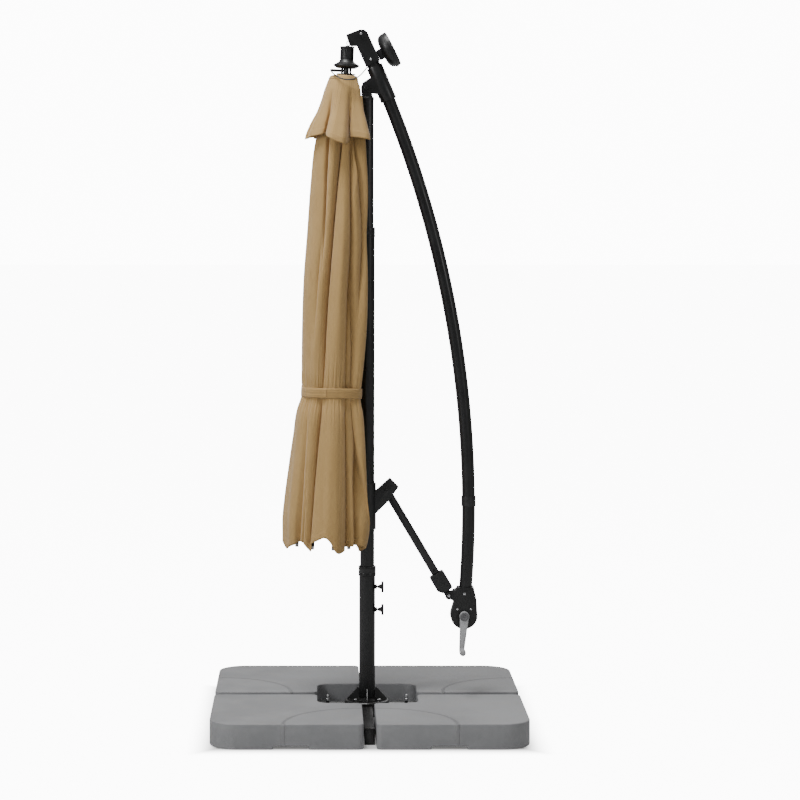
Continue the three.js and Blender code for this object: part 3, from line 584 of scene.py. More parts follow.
def cloth_finish(name, base, lighter, stitched=True, threads=1500.0):
    material, tree, shader = blank(name)
    cloth = wire(tree, "ShaderNodeUVMap", uv_map="cloth").outputs["UV"]
    place = wire(tree, "ShaderNodeTexCoord").outputs["Object"]
    weave = use_group(tree, WEAVE, {"Map": cloth, "Threads per metre": threads})
    cloud = ramp(tree, noise(tree, place, 5.0, 5.0, 0.6), 0.3, 0.75)
    colour = mixed(tree, cloud, base, lighter)
    shade = sums(tree, "MULTIPLY_ADD", weave.outputs["Slub"], 0.7, -0.08, clamp=True)
    colour = mixed(tree, shade, colour, tuple(0.80 * c for c in base))
    height = sums(tree, "MULTIPLY_ADD", weave.outputs["Slub"], 1.2, weave.outputs["Height"])
    if stitched:
        edges = wire(tree, "ShaderNodeUVMap", uv_map="edges").outputs["UV"]
        stitch = use_group(tree, STITCH, {"Edges": edges, "Map": cloth})
        colour = mixed(tree, stitch.outputs["Thread"], colour, tuple(min(1, 1.25 * c) for c in lighter))
        height = sums(tree, "MULTIPLY_ADD", stitch.outputs["Ridge"], 5.0, height)
        height = sums(tree, "MULTIPLY_ADD", stitch.outputs["Thread"], 2.0, height)
    tree.links.new(colour, shader.inputs["Base Color"])
    tree.links.new(sums(tree, "MULTIPLY_ADD", weave.outputs["Slub"], 0.2, 0.72), shader.inputs["Roughness"])
    shader.inputs["Sheen Weight"].default_value = 0.25
    shader.inputs["Sheen Roughness"].default_value = 0.5
    shader.inputs["Specular IOR Level"].default_value = 0.25
    bumped(tree, shader, height, 0.00015, 0.7)
    return material


def panel_finish():
    """The lamp's face: dark glass over a grid of cells."""
    material, tree, shader = blank("cell_glass")
    place = wire(tree, "ShaderNodeTexCoord").outputs["Object"]
    turned_place = wire(tree, "ShaderNodeMapping", {"Vector": place, "Rotation": (0, math.radians(27), 0)},
                        vector_type="POINT").outputs[0]
    parts = wire(tree, "ShaderNodeSeparateXYZ", {0: turned_place})
    lines = None
    for axis, pitch in (("Y", 0.019), ("Z", 0.0024)):
        wave = sums(tree, "ABSOLUTE", sums(tree, "SINE", sums(tree, "MULTIPLY", parts.outputs[axis], math.pi / pitch)))
        line = sums(tree, "SUBTRACT", 1.0, ramp(tree, wave, 0.03, 0.12))
        lines = line if lines is None else sums(tree, "MAXIMUM", lines, line)
    crystal = noise(tree, place, 130.0, 2.0)
    cell = mixed(tree, crystal, (0.012, 0.014, 0.022), (0.020, 0.024, 0.036))
    tree.links.new(mixed(tree, lines, cell, (0.10, 0.10, 0.11)), shader.inputs["Base Color"])
    tree.links.new(sums(tree, "MULTIPLY_ADD", crystal, 0.06, 0.10), shader.inputs["Roughness"])
    shader.inputs["Coat Weight"].default_value = 1.0
    shader.inputs["Coat Roughness"].default_value = 0.03
    return material


STEEL_BLACK = hard_finish("black_steel", (0.0040, 0.0040, 0.0042), (0.0065, 0.0065, 0.0068), 0.27, 1100.0, 0.00003,
                          wear=0.25, worn=(0.05, 0.05, 0.05), dust=0.05)
PLASTIC_BLACK = hard_finish("black_plastic", (0.0050, 0.0050, 0.0053), (0.0085, 0.0085, 0.009), 0.38, 1500.0, 0.00006,
                            wear=0.35, worn=(0.045, 0.045, 0.047), dust=0.06)
SHELL_GREY = shell_finish()
STEEL_BRIGHT = steel_finish()
CRANK_GREY = hard_finish("crank_grey", (0.34, 0.345, 0.35), (0.40, 0.405, 0.41), 0.38, 1300.0, 0.00006,
                         wear=0.2, worn=(0.5, 0.5, 0.5), dust=0.1)
BOSS_GREY = hard_finish("boss_grey", (0.10, 0.10, 0.105), (0.13, 0.13, 0.135), 0.4, 1300.0, 0.00006,
                        wear=0.2, worn=(0.2, 0.2, 0.2), dust=0.1)
CLOTH = cloth_finish("canopy_cloth", (0.43, 0.270, 0.098), (0.475, 0.303, 0.118))
STRAP_CLOTH = cloth_finish("strap_webbing", (0.40, 0.250, 0.090), (0.45, 0.283, 0.108), threads=900.0)
LEAD_RUBBER = hard_finish("lead_rubber", (0.010, 0.010, 0.010), (0.016, 0.016, 0.016), 0.42, 2500.0, 0.00003,
                          wear=0.0, dust=0.1)
CELL_GLASS = panel_finish()


def finish_with(piece, material):
    piece.data.materials.clear()
    piece.data.materials.append(material)
    return piece


SLOT_MATERIAL = {"black_steel": STEEL_BLACK, "black_plastic": PLASTIC_BLACK, "grey_weight": SHELL_GREY,
                 "bright_steel": STEEL_BRIGHT, "crank_grey": CRANK_GREY, "canopy_cloth": CLOTH}
for part in frame["record"]["subparts"]:
    node = frame["nodes"][part["node"]]
    node.data.materials.clear()
    node.data.materials.append(SLOT_MATERIAL[part["material_slot"]])

finish_with(lead, LEAD_RUBBER)
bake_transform(lead)


# ---------- cloth ----------

HANG = np.array([-0.0656, 0.0, 2.198])
LEAN = math.radians(2.8)
STRAP_DOWN = 1.127
HINGE_OUT, HINGE_DOWN, FLARE = 0.035, 0.119, math.radians(1.8)


def in_row(points):
    """From the canopy's own frame, which leans by LEAN, to the row frame."""
    p = np.asarray(points, float)
    c, s = math.cos(LEAN), math.sin(LEAN)
    return np.stack([p[..., 0] * c + p[..., 2] * s + HANG[0], p[..., 1],
                     -p[..., 0] * s + p[..., 2] * c + HANG[2]], -1)


def table(knots):
    """A smooth curve through (depth, value) knots."""
    xs, ys = np.array(knots, float).T
    slopes = np.gradient(ys, xs)

    def read(x):
        x = np.clip(x, xs[0], xs[-1])
        i = np.clip(np.searchsorted(xs, x) - 1, 0, len(xs) - 2)
        h = xs[i + 1] - xs[i]
        t = (x - xs[i]) / h
        return ((1 + 2 * t) * (1 - t) ** 2 * ys[i] + t * (1 - t) ** 2 * h * slopes[i]
                + t * t * (3 - 2 * t) * ys[i + 1] + t * t * (t - 1) * h * slopes[i + 1])
    return read


def rib_face(down):
    return 0.048 + np.maximum(0, down - HINGE_DOWN) * math.tan(FLARE)


def smooth_step(x, low, high):
    t = np.clip((x - low) / (high - low), 0, 1)
    return t * t * (3 - 2 * t)


# how far the strapped cloth reaches to the left and to the right, by depth below the hanging point
REACH_LEFT = table([(.16, .060), (.20, .072), (.26, .084), (.34, .097), (.45, .1027), (.61, .106), (.76, .110),
                    (.92, .107), (1.04, .1015), (1.10, .097), (1.127, .0945), (1.155, .0975), (1.18, .106),
                    (1.28, .1185), (1.39, .1275), (1.49, .134), (1.545, .136), (1.60, .133), (1.66, .130)])
REACH_RIGHT = table([(.16, .052), (.20, .058), (.26, .064), (.34, .071), (.45, .083), (.61, .0907), (.76, .1005),
                     (.92, .105), (1.04, .101), (1.10, .097), (1.127, .0945), (1.155, .0975), (1.18, .104),
                     (1.28, .1185), (1.39, .130), (1.49, .139), (1.545, .142), (1.60, .139), (1.66, .135)])
REACH_DEEP = table([(.16, .058), (.26, .078), (.34, .092), (.45, .100), (.76, .108), (.92, .107), (1.04, .1015),
                    (1.10, .097), (1.127, .0945), (1.155, .0975), (1.18, .105), (1.28, .117), (1.39, .124),
                    (1.49, .129), (1.60, .131), (1.66, .130)])
MAST_LIMIT = table([(.16, -.0285), (.50, -.0285), (1.2, -.029), (1.36, -.033), (1.66, -.033)])


def axis_x(down):
    return HANG[0] - down * math.sin(LEAN)


# creases: (place across the front from the canopy's axis by depth, depth of the crease, its width in degrees,
# from, to). They run down the front where the cloth was gathered by hand.
FRONT_CREASES = [
    (table([(.20, .000), (.32, -.002), (.59, -.011), (.87, -.020), (1.14, -.027), (1.34, -.031), (1.53, -.035),
            (1.66, -.038)]), table([(.2, .022), (.5, .040), (.9, .034), (1.13, .012), (1.3, .030), (1.66, .044)]), 5.0),
    (table([(.20, .020), (.476, .029), (.63, .0365), (.80, .038), (1.02, .0458), (1.28, .0554), (1.53, .0643),
            (1.66, .069)]), table([(.2, .020), (.5, .036), (.9, .022), (1.13, .010), (1.3, .022), (1.66, .040)]), 4.0),
    (table([(.20, .034), (.32, .041), (.48, .058), (.60, .0715), (.75, .079), (.9, .080), (1.1, .079), (1.66, .10)]),
     table([(.2, .014), (.45, .026), (.62, .024), (.8, .010), (.95, .0), (1.66, .0)]), 4.0),
    (table([(.60, .050), (.75, .053), (1.1, .066), (1.26, .0765), (1.37, .085), (1.53, .098), (1.66, .104)]),
     table([(.2, .0), (.66, .0), (.78, .014), (1.0, .024), (1.13, .010), (1.3, .028), (1.66, .040)]), 3.5),
    (table([(.20, -.048), (.40, -.050), (.55, -.049), (.67, -.050), (.9, -.055), (1.66, -.075)]),
     table([(.2, .012), (.4, .018), (.62, .012), (.74, .002), (.9, .0), (1.2, .0), (1.45, .006), (1.66, .016)]), 4.0),
    (table([(.60, -.061), (.8, -.062), (1.66, -.09)]),
     table([(.2, .0), (.6, .0), (.72, .009), (.84, .006), (1.0, .0), (1.2, .004), (1.4, .010), (1.66, .022)]), 3.5),
]
# the rear: (azimuth in degrees at the top and at the hem, depth of the crease, width)
REAR_CREASES = [(22, 24, .016, 5), (48, 44, .012, 5), (71, 66, .028, 6), (93, 89, .014, 5), (113, 112, .030, 6),
                (131, 137, .012, 5), (153, 157, .024, 6), (176, 172, .012, 7)]
SOFT_FOLDS = [(7, .0018, .4, 2.1), (11, .0013, 2.1, -3.0), (17, .0008, 4.4, 2.3), (29, .0003, 1.2, -4.1)]


# which of its two lips lies over each front crease: -1 the right one, 1 the left one
FRONT_LIPS = (-1, 1, 1, 1, 1, 1)


def crease_azimuth(place, deep, down, reach):
    return 360 - np.degrees(np.arccos(np.clip(place(down) / (reach - 0.6 * deep(down)), -0.97, 0.97)))


def cloth_lean(azimuth, down):
    """How far a fold's lip lies over the crease beside it, in radians."""
    degrees = np.degrees(azimuth) % 360
    lean = np.zeros_like(degrees + down)
    reach = REACH_DEEP(down)
    for (place, deep, _), side in zip(FRONT_CREASES, FRONT_LIPS):
        off = degrees - crease_azimuth(place, deep, down, reach)
        lean = lean + side * 7.5 * np.minimum(deep(down) / 0.035, 1.1) * np.exp(-(((off + side * 6.5) / 4.5) ** 2))
    share = np.clip((down - 0.2) / 1.4, 0, 1)
    gathered = 1 - 0.62 * np.exp(-(((down - STRAP_DOWN) / 0.10) ** 2))
    for i, (top, hem, deep, width) in enumerate(REAR_CREASES):
        side = 1 if i % 2 else -1
        off = (degrees - (top + (hem - top) * share) + 180) % 360 - 180
        lean = lean + side * 7.0 * deep / 0.03 * gathered * np.exp(-(((off + side * 6.5) / 4.5) ** 2))
    return np.radians(lean)


def cloth_radius(azimuth, down):
    """The outside of the folded cloth, for azimuths in radians and depths, both arrays."""
    leftness = 0.5 - 0.5 * np.cos(azimuth)
    frontness = np.sin(azimuth) ** 2
    sideways = np.where(leftness > 0.5, REACH_LEFT(down), REACH_RIGHT(down))
    reach = (1 - frontness) * sideways + frontness * REACH_DEEP(down)
    degrees = np.degrees(azimuth) % 360
    # the flap that lies in front of the mast
    flap = np.exp(-(((degrees - 329) / 11.0) ** 2)) * 0.17 * REACH_RIGHT(down)
    radius = reach + flap
    for place, deep, width in FRONT_CREASES:
        off = np.abs(degrees - crease_azimuth(place, deep, down, reach + flap))
        sharp, soft = np.exp(-off / width), np.exp(-((off / (2.4 * width)) ** 2))
        radius = radius - 1.35 * deep(down) * (0.62 * sharp + 0.38 * soft)
    share = np.clip((down - 0.2) / 1.4, 0, 1)
    gathered = 1 - 0.62 * np.exp(-(((down - STRAP_DOWN) / 0.10) ** 2))
    for top, hem, deep, width in REAR_CREASES:
        off = np.abs((degrees - (top + (hem - top) * share) + 180) % 360 - 180)
        radius = radius - deep * gathered * (0.6 * np.exp(-off / width) + 0.4 * np.exp(-((off / (2.6 * width)) ** 2)))
    loose = 0.5 + 0.9 * smooth_step(down, 1.15, 1.55)
    for count, size, phase, drift in SOFT_FOLDS:
        radius = radius + size * loose * gathered * np.sin(count * azimuth + phase + drift * down)
    # small gathers fan out above and below the strap
    near = np.abs(down - STRAP_DOWN)
    fan = np.exp(-near / 0.055) * smooth_step(near, 0.008, 0.03)
    radius = radius + fan * (0.0016 * np.sin(52 * azimuth + 1.0) + 0.0012 * np.sin(83 * azimuth + 2.0))
    # beside the mast the cloth is pressed flat
    limit = (MAST_LIMIT(down) - axis_x(down)) / np.maximum(np.cos(azimuth), 0.35)
    signed = (degrees + 180) % 360 - 180
    beside = smooth_step(signed, -28.0, -22.0) * (1 - smooth_step(signed, 60, 75))
    pressed = np.minimum(radius, limit)
    radius = radius * (1 - beside) + pressed * beside
    # over a rib the cloth stays outside it, and between ribs it can fold in deeper
    from_rib = np.abs(degrees % 45 - 22.5)
    over_rib = 1 - smooth_step(from_rib, 7.5, 13.0)
    inside = 0.034 + 0.012 * np.clip(down, 0, 1.6)
    return np.maximum(radius, inside + (rib_face(down) + 0.0035 - inside) * over_rib)


# the hem's depth by azimuth: lowest at the rib tips, higher between them
HEM = [(0, 1.585), (12, 1.612), (22.5, 1.641), (33, 1.618), (45, 1.603), (57, 1.618), (67.5, 1.641), (79, 1.617),
       (90, 1.604), (101, 1.618), (112.5, 1.641), (124, 1.618), (135, 1.603), (147, 1.618), (157.5, 1.641),
       (168, 1.622),
       (180, 1.606), (192, 1.626), (202.5, 1.642), (213, 1.628), (224, 1.612), (236, 1.620), (247.5, 1.642),
       (256, 1.618), (264, 1.600), (273, 1.593), (281, 1.610), (287, 1.634), (292.5, 1.642), (303, 1.632),
       (315, 1.620), (327, 1.618), (333, 1.628), (337.5, 1.642), (346, 1.615), (360, 1.585)]
hem_depth = table(HEM)


def gore_sheet(name, k, shape, lean, top, bottom, across, along, power=1.0, lap=0.0):
    """One gore between rib k and the next, as rows from its top to its hem."""
    start, end = math.radians(45 * k - 22.5), math.radians(45 * k + 22.5)
    turn = np.linspace(start - lap, end + lap, across)
    low = bottom(np.degrees(turn) % 360)
    rows = []
    for share in np.linspace(0, 1, along) ** power:
        down = top + (low - top) * share
        radius = shape(turn, down)
        seen = turn + lean(turn, down)
        rows.append(np.stack([radius * np.cos(seen), radius * np.sin(seen), -down], -1))
    rows = np.array(rows)
    steps = np.linalg.norm(np.diff(rows, axis=1), axis=2)
    from_side = np.concatenate([np.zeros((along, 1)), np.cumsum(steps, 1)], 1)
    widths = from_side[:, -1:]
    heights = np.linalg.norm(np.diff(rows, axis=0), axis=2)
    from_top = np.concatenate([np.zeros((1, across)), np.cumsum(heights, 0)], 0)
    to_hem = from_top[-1:] - from_top
    uv = np.stack([from_side - widths / 2 + 3.0 * k, from_top], -1)
    edge = np.stack([np.minimum(from_side, widths - from_side), to_hem], -1)
    piece = grid_piece(name, in_row(rows), uv=uv, edge_uv=edge)
    area = sum(face.area for face in piece.data.polygons)
    return piece, float(np.percentile(widths, 90)), float(np.median(from_top[-1])), area


def thickened(piece, thick):
    """Gives a sheet its thickness, inwards."""
    piece = cleaned_sheet(piece)
    solid = piece.modifiers.new("cloth_thickness", "SOLIDIFY")
    solid.thickness = thick
    solid.offset = -1
    apply_modifiers(piece)
    return piece


def cleaned_sheet(piece):
    """Turns the sheet's faces away from the canopy's axis."""
    middle = piece.data.polygons[len(piece.data.polygons) // 2]
    centre = np.array(middle.center)
    outward = np.array([centre[0] - axis_x(HANG[2] - centre[2]), centre[1], 0.0])
    if float(np.array(middle.normal) @ outward) < 0:
        piece.data.flip_normals()
    return piece


CLOTH_THICK = 0.0009
SEAM_LAP = 0.012  # how far one gore runs under the next, in radians
GORE_TOP, VENT_TOP, CROWN_TOP, CROWN_DROP = 0.165, 0.1095, 0.0945, 0.0185
for k in range(1, 9):
    gore, wide, long, area = gore_sheet(f"gore_cloth_{k}", k, cloth_radius, cloth_lean, GORE_TOP, hem_depth, 81,
                                        190, lap=SEAM_LAP)
    thickened(gore, CLOTH_THICK)
    finish_with(gore, CLOTH)
    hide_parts(f"gore_{k}")
    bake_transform(gore)

# the upper layer: loose lobes that flare to a curled hem
VENT_LEFT = table([(.098, .046), (.106, .051), (.143, .0656), (.182, .0768), (.221, .091), (.26, .111), (.2995, .125),
                   (.33, .128)])
VENT_RIGHT = table([(.098, .034), (.106, .036), (.143, .0485), (.182, .0560), (.221, .069), (.26, .082), (.2995, .094),
                    (.33, .096)])
VENT_VALLEYS = [(228, .042), (289, .048), (337.5, .018), (24, .026), (68, .042), (113, .045), (156, .042), (192, .012)]


def vent_lean(azimuth, down):
    """The lobes' lips lie over the valleys between them, in radians."""
    degrees = np.degrees(azimuth) % 360
    lean = np.zeros_like(degrees + down)
    for i, (centre, deep) in enumerate(VENT_VALLEYS):
        side = 1 if i in (0, 3, 5, 7) else -1
        off = (degrees - centre + 180) % 360 - 180
        lean = lean + side * 9.0 * deep / 0.045 * np.exp(-(((off + side * 8.0) / 5.5) ** 2))
    return np.radians(lean) * smooth_step(down, 0.15, 0.28)


def vent_radius(azimuth, down):
    leftness = 0.5 - 0.5 * np.cos(azimuth)
    degrees = np.degrees(azimuth) % 360
    reach = VENT_LEFT(down) * leftness + VENT_RIGHT(down) * (1 - leftness)
    reach = reach + 0.17 * np.exp(-(((degrees - 322) / 15.0) ** 2)) * VENT_RIGHT(down)
    open_share = smooth_step(down, 0.13, 0.30)
    for centre, deep in VENT_VALLEYS:
        off = np.abs((degrees - centre + 180) % 360 - 180)
        reach = reach - deep * open_share * (0.6 * np.exp(-off / 5.5) + 0.4 * np.exp(-((off / 13.0) ** 2)))
    curl = smooth_step(down, 0.262, 0.318) * (0.5 + 0.5 * np.sin(3 * azimuth + 0.6))
    reach = reach + 0.004 * curl + 0.0012 * np.sin(17 * azimuth + 9 * down) * open_share
    limit = (-0.0265 - axis_x(down)) / np.maximum(np.cos(azimuth), 0.35)
    signed = (degrees + 180) % 360 - 180
    beside = smooth_step(signed, -26.0, -20.0) * (1 - smooth_step(signed, 45, 60))
    reach = reach * (1 - beside) + np.minimum(reach, limit) * beside
    from_rib = np.abs(degrees % 45 - 22.5)
    over_rib = 1 - smooth_step(from_rib, 8.0, 14.0)
    inside = 0.034 + 0.16 * np.maximum(0, down - 0.098)
    clear = np.minimum(rib_face(down) + 0.0062, 0.034 + 0.3 * (down - 0.098))
    return np.maximum(reach, inside + over_rib * np.maximum(0, clear - inside))


VENT_HEM = [(0, .296), (22, .296), (45, .307), (68, .298), (90, .309), (113, .298), (135, .308), (158, .303),
            (180, .314), (192, .311), (210, .304), (228, .290), (245, .304), (262, .318), (276, .322), (289, .303),
            (300, .300), (318, .305), (332, .304), (346, .297), (360, .296)]
vent_hem = table(VENT_HEM)


def vent_shape(azimuth, down):
    crown = smooth_step(down, 0.0945, 0.104)
    return 0.014 * (1 - crown) + vent_radius(azimuth, np.maximum(down, 0.098)) * crown


for k in range(1, 9):
    vent, wide, long, area = gore_sheet(f"vent_cloth_{k}", k, vent_shape, vent_lean, VENT_TOP,
                                        vent_hem, 61, 64, power=1.15, lap=SEAM_LAP)
    thickened(vent, CLOTH_THICK)
    finish_with(vent, CLOTH)
    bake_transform(vent)

# the crown: a small cap of the same cloth, clamped under the socket, over the lobes' top edges
crown_turn = np.linspace(0, 2 * np.pi, 160, endpoint=False)
crown_rows, crown_map, crown_edge = [], [], []
for share in np.linspace(0, 1, 26):
    down = CROWN_TOP + CROWN_DROP * share
    radius = vent_shape(crown_turn, np.full(160, down)) + 0.0016 * share
    crown_rows.append(np.stack([radius * np.cos(crown_turn), radius * np.sin(crown_turn), np.full(160, -down)], -1))
    crown_map.append(np.stack([radius * np.cos(crown_turn), radius * np.sin(crown_turn)], -1))
    crown_edge.append(np.stack([np.full(160, 0.5), np.full(160, CROWN_DROP * (1 - share) + 0.03)], -1))
crown = grid_piece("crown_cloth", in_row(np.array(crown_rows)), closed=True, uv=crown_map, edge_uv=crown_edge)
thickened(crown, CLOTH_THICK)
finish_with(crown, CLOTH)
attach(crown, "canopy_hub")


# ---------- tie strap ----------

def strap_radius(azimuth):
    """The strap bridges the creases, so it follows the cloth's outermost line."""
    ring = np.linspace(0, 2 * np.pi, 360, endpoint=False)
    cloth = cloth_radius(ring, np.full(360, STRAP_DOWN))
    points = np.stack([cloth * np.cos(ring), cloth * np.sin(ring)], 1)
    reach = []
    for turn in azimuth:
        spread = np.abs((ring - turn + np.pi) % (2 * np.pi) - np.pi)
        close = spread < math.radians(16)
        reach.append(float((points[close] @ np.array([math.cos(turn), math.sin(turn)])).max()))
    return np.array(reach) + 0.0016


def strap_band(name, low, high, from_turn, to_turn, lift, thick):
    turn = np.radians(np.linspace(from_turn, to_turn, 180))
    base = strap_radius(turn)
    base = np.convolve(np.pad(base, 9, mode="wrap"), np.ones(19) / 19, mode="valid") + lift
    rows, uv, edge = [], [], []
    length = np.concatenate([[0], np.cumsum(np.hypot(np.diff(base * np.cos(turn)), np.diff(base * np.sin(turn))))])
    for share in np.linspace(0, 1, 9):
        down = high + (low - high) * share + 0.0022 * np.sin(2 * turn + 0.5)
        crown = 0.0006 * math.sin(math.pi * share)
        rows.append(np.stack([(base + crown) * np.cos(turn), (base + crown) * np.sin(turn), -down], -1))
        uv.append(np.stack([length, np.full_like(turn, share * (low - high))], -1))
        edge.append(np.stack([np.full_like(turn, min(share, 1 - share) * (low - high)), np.full_like(turn, 0.5)], -1))
    piece = grid_piece(name, in_row(np.array(rows)), uv=uv, edge_uv=edge)
    thickened(piece, -thick)
    return piece, float(length[-1])


strap, strap_length = strap_band("tie_strap_band", 1.1435, 1.1105, -180, 180, 0.0, 0.0014)
finish_with(strap, STRAP_CLOTH)
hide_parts("tie_strap")
strap_end, end_length = strap_band("tie_strap_end", 1.1425, 1.1115, 214, 262, 0.0018, 0.0014)
finish_with(strap_end, STRAP_CLOTH)
for piece in (strap, strap_end):
    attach(piece, "rib_3")
    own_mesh(piece)


# ---------- base ----------

def mirrored(piece, name, across, along):
    copy = copied(piece, name)
    copy.scale = (across, along, 1)
    apply_place(copy)
    return cleaned(copy, 35)


def weight_shell():
    """The front left weight: a flat shell with a recess at the mast and hand holds under its edge."""
    shell = rounded_box("weight_shell", (-500, -500, 0), (-20, -20, 80), 0)
    recess = rounded_box("recess", (-163, -163, -10), (60, 60, 120), 0)
    round_upright_edges(recess, lambda x, y: x < -0.1 and y < -0.1, 0.040, 9)
    carved(shell, recess)
    round_upright_edges(shell, lambda x, y: x < -0.45 and y < -0.45, 0.092, 14)
    corners = [(-0.5, -0.02), (-0.02, -0.5), (-0.163, -0.02), (-0.02, -0.163)]
    near = lambda x, y: any(abs(x - a) < 1e-3 and abs(y - b) < 1e-3 for a, b in corners)
    round_upright_edges(shell, near, 0.018, 6)
    for low, high in (((-300, -520, -5), (-190, -430, 10)), ((-520, -300, -5), (-430, -190, 10))):
        carved(shell, rounded_box("hand_hold", low, high, 3, 2))
    edge = shell.modifiers.new("edge_round", "BEVEL")
    edge.width, edge.segments, edge.angle_limit = 0.011, 4, math.radians(50)
    edge.limit_method = "ANGLE"
    apply_modifiers(shell)
    return cleaned(shell, 40)


master = weight_shell()
for place, across, along in (("front_left", 1, 1), ("front_right", -1, 1), ("rear_left", 1, -1),
                             ("rear_right", -1, -1)):
    shell = mirrored(master, "weight_shell_" + place, across, along)
    finish_with(shell, SHELL_GREY)
    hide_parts("weight_" + place)
    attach(shell, "base")
bpy.data.objects.remove(master)

METAL = {"base": ["cross_base", "mast_foot"], "strut": ["strut_bar"], "guide": ["arm_guide"],
         "arm": ["head_channel"]}
MOULDED = {"mast": ["mast_top"], "slider": ["slider"], "strut": ["strut_end_block"],
           "arm": ["arm_joint_collar", "crank_housing_front", "crank_housing_rear"],
           "thumb_screw_lower": ["thumb_screw_lower"], "thumb_screw_upper": ["thumb_screw_upper"],
           "canopy_hub": ["hub_crown"], "runner": ["runner"]}
for body, nodes in METAL.items():
    for node in nodes:
        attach(finish_with(refined(node, 0.0007), STEEL_BLACK), body)
for body, nodes in MOULDED.items():
    for node in nodes:
        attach(finish_with(refined(node, 0.0011, 3), PLASTIC_BLACK), body)
for k in range(1, 9):
    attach(finish_with(refined(f"rib_{k}", 0.0004, 1), STEEL_BLACK), f"rib_{k}")
    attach(finish_with(refined(f"stretcher_{k}", 0.0005, 1), STEEL_BLACK), f"stretcher_{k}")
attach(finish_with(refined("eye_bolt", 0.0003, 1), STEEL_BRIGHT), "canopy_hub")
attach(finish_with(refined("crank_handle", 0.0016, 3), CRANK_GREY), "crank")


def fastener(name, centre, rotation, radius, height, body, socket=True, sides=32, material=STEEL_BRIGHT):
    """A domed head with a hex socket, standing on a face; centre in mm."""
    profile = [(radius, 0), (radius, 0.35 * height), (0.86 * radius, 0.8 * height), (0.6 * radius, height)]
    if socket:
        profile += [(0.42 * radius, height), (0.42 * radius, 0.3 * height)]
    profile.append((0, profile[-1][1]))
    head = turned(name, profile, sides)
    placed(head, np.array(centre) * MM, rotation)
    finish_with(head, material)
    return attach(head, body)


for k in range(4):
    turn = math.radians(45 + 90 * k)
    centre = (54 * math.cos(turn), 54 * math.sin(turn), 66.2)
    fastener(f"foot_bolt_{k + 1}", centre, (0, 0, 15 + 90 * k), 5.6, 2.6, "base")
PIN_STEPS = [(4.6, 55.2), (5.0, 56.0), (5.0, 62), (3.9, 63), (3.9, 68.5), (4.6, 69.6), (4.6, 73.4), (3.4, 75.2),
             (0, 75.6)]
for side, x in (("left", -129), ("right", 129)):
    pin = turned(f"lock_pin_{side}", PIN_STEPS, 32)
    finish_with(pin, STEEL_BRIGHT)
    placed(pin, (x * MM, 0, 0))
    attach(pin, "base")


# ---------- mast ----------

def tube(name, node, body, profile, material=None, sides=72):
    piece = turned(name, profile, sides, closed=True)
    finish_with(piece, material or STEEL_BLACK)
    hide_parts(node)
    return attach(piece, body)


tube("lower_pole_tube", "lower_pole", "base", [
    (24.3, 67.4), (26.0, 67.4), (26.3, 67.8), (26.3, 468), (27.6, 468.6), (28.3, 469.6), (28.5, 471), (28.5, 478),
    (28.1, 478.6), (28.1, 479.8), (28.5, 480.4), (28.5, 498.4), (28.0, 500.2), (26.6, 501), (23.7, 501),
    (23.6, 468), (24.3, 466), (24.3, 67.4)])
tube("mid_pole_tube", "mid_pole", "mast", [
    (21.3, 72), (23.3, 72), (23.3, 1574), (24.2, 1574.5), (24.6, 1575.6), (24.6, 1583), (24.2, 1583.6),
    (24.2, 1584.6), (24.6, 1585.2), (24.6, 1604.5), (24.1, 1606.2), (22.9, 1607), (19.9, 1607), (19.8, 1574),
    (21.3, 1572), (21.3, 72)])
tube("upper_pole_tube", "upper_pole", "mast", [(17.5, 1420), (19.5, 1420), (19.5, 2018), (17.5, 2018), (17.5, 1420)])

for screw, height in (("thumb_screw_lower", 357), ("thumb_screw_upper", 432)):
    washer = turned(screw + "_boss", [(4.0, 26.2), (7.4, 26.2), (7.5, 31.2), (7.0, 32.2), (4.0, 32.3), (4.0, 26.2)], 40,
                    closed=True)
    placed(washer, (0, 0, height * MM), (0, 90, 0))
    finish_with(washer, STEEL_BLACK)
    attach(washer, "base")
    insert = turned(screw + "_insert", [(6.2, 53.9), (6.2, 54.05), (5.0, 54.3), (4.6, 54.1), (0, 54.1)], 32)
    placed(insert, (0, 0, height * MM), (0, 90, 0))
    finish_with(insert, PLASTIC_BLACK)
    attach(insert, screw)

# bolts in pairs, front and rear: name, (x, z), how far out along y, radius, height, body
MAST_BOLTS = [("pivot_bolt", (-6, 2058), 26.3, 6.4, 0.9, "mast"),
              ("strut_bolt", (62.2, 749.9), 17.3, 6.0, 1.4, "slider"),
              ("block_screw", (220.4, 482.6), 16.8, 4.0, 1.0, "strut")]
for side, turn in ((-1, 90), (1, -90)):
    for name, (x, z), out, radius, height, body in MAST_BOLTS:
        fastener(f"{name}_{'front' if side < 0 else 'rear'}", (x, side * out, z), (turn, 0, 0), radius, height, body,
                 material=STEEL_BLACK)


# ---------- arm ----------

ARC_X, ARC_Z, ARC_R = -3.204, 0.680, 3.535


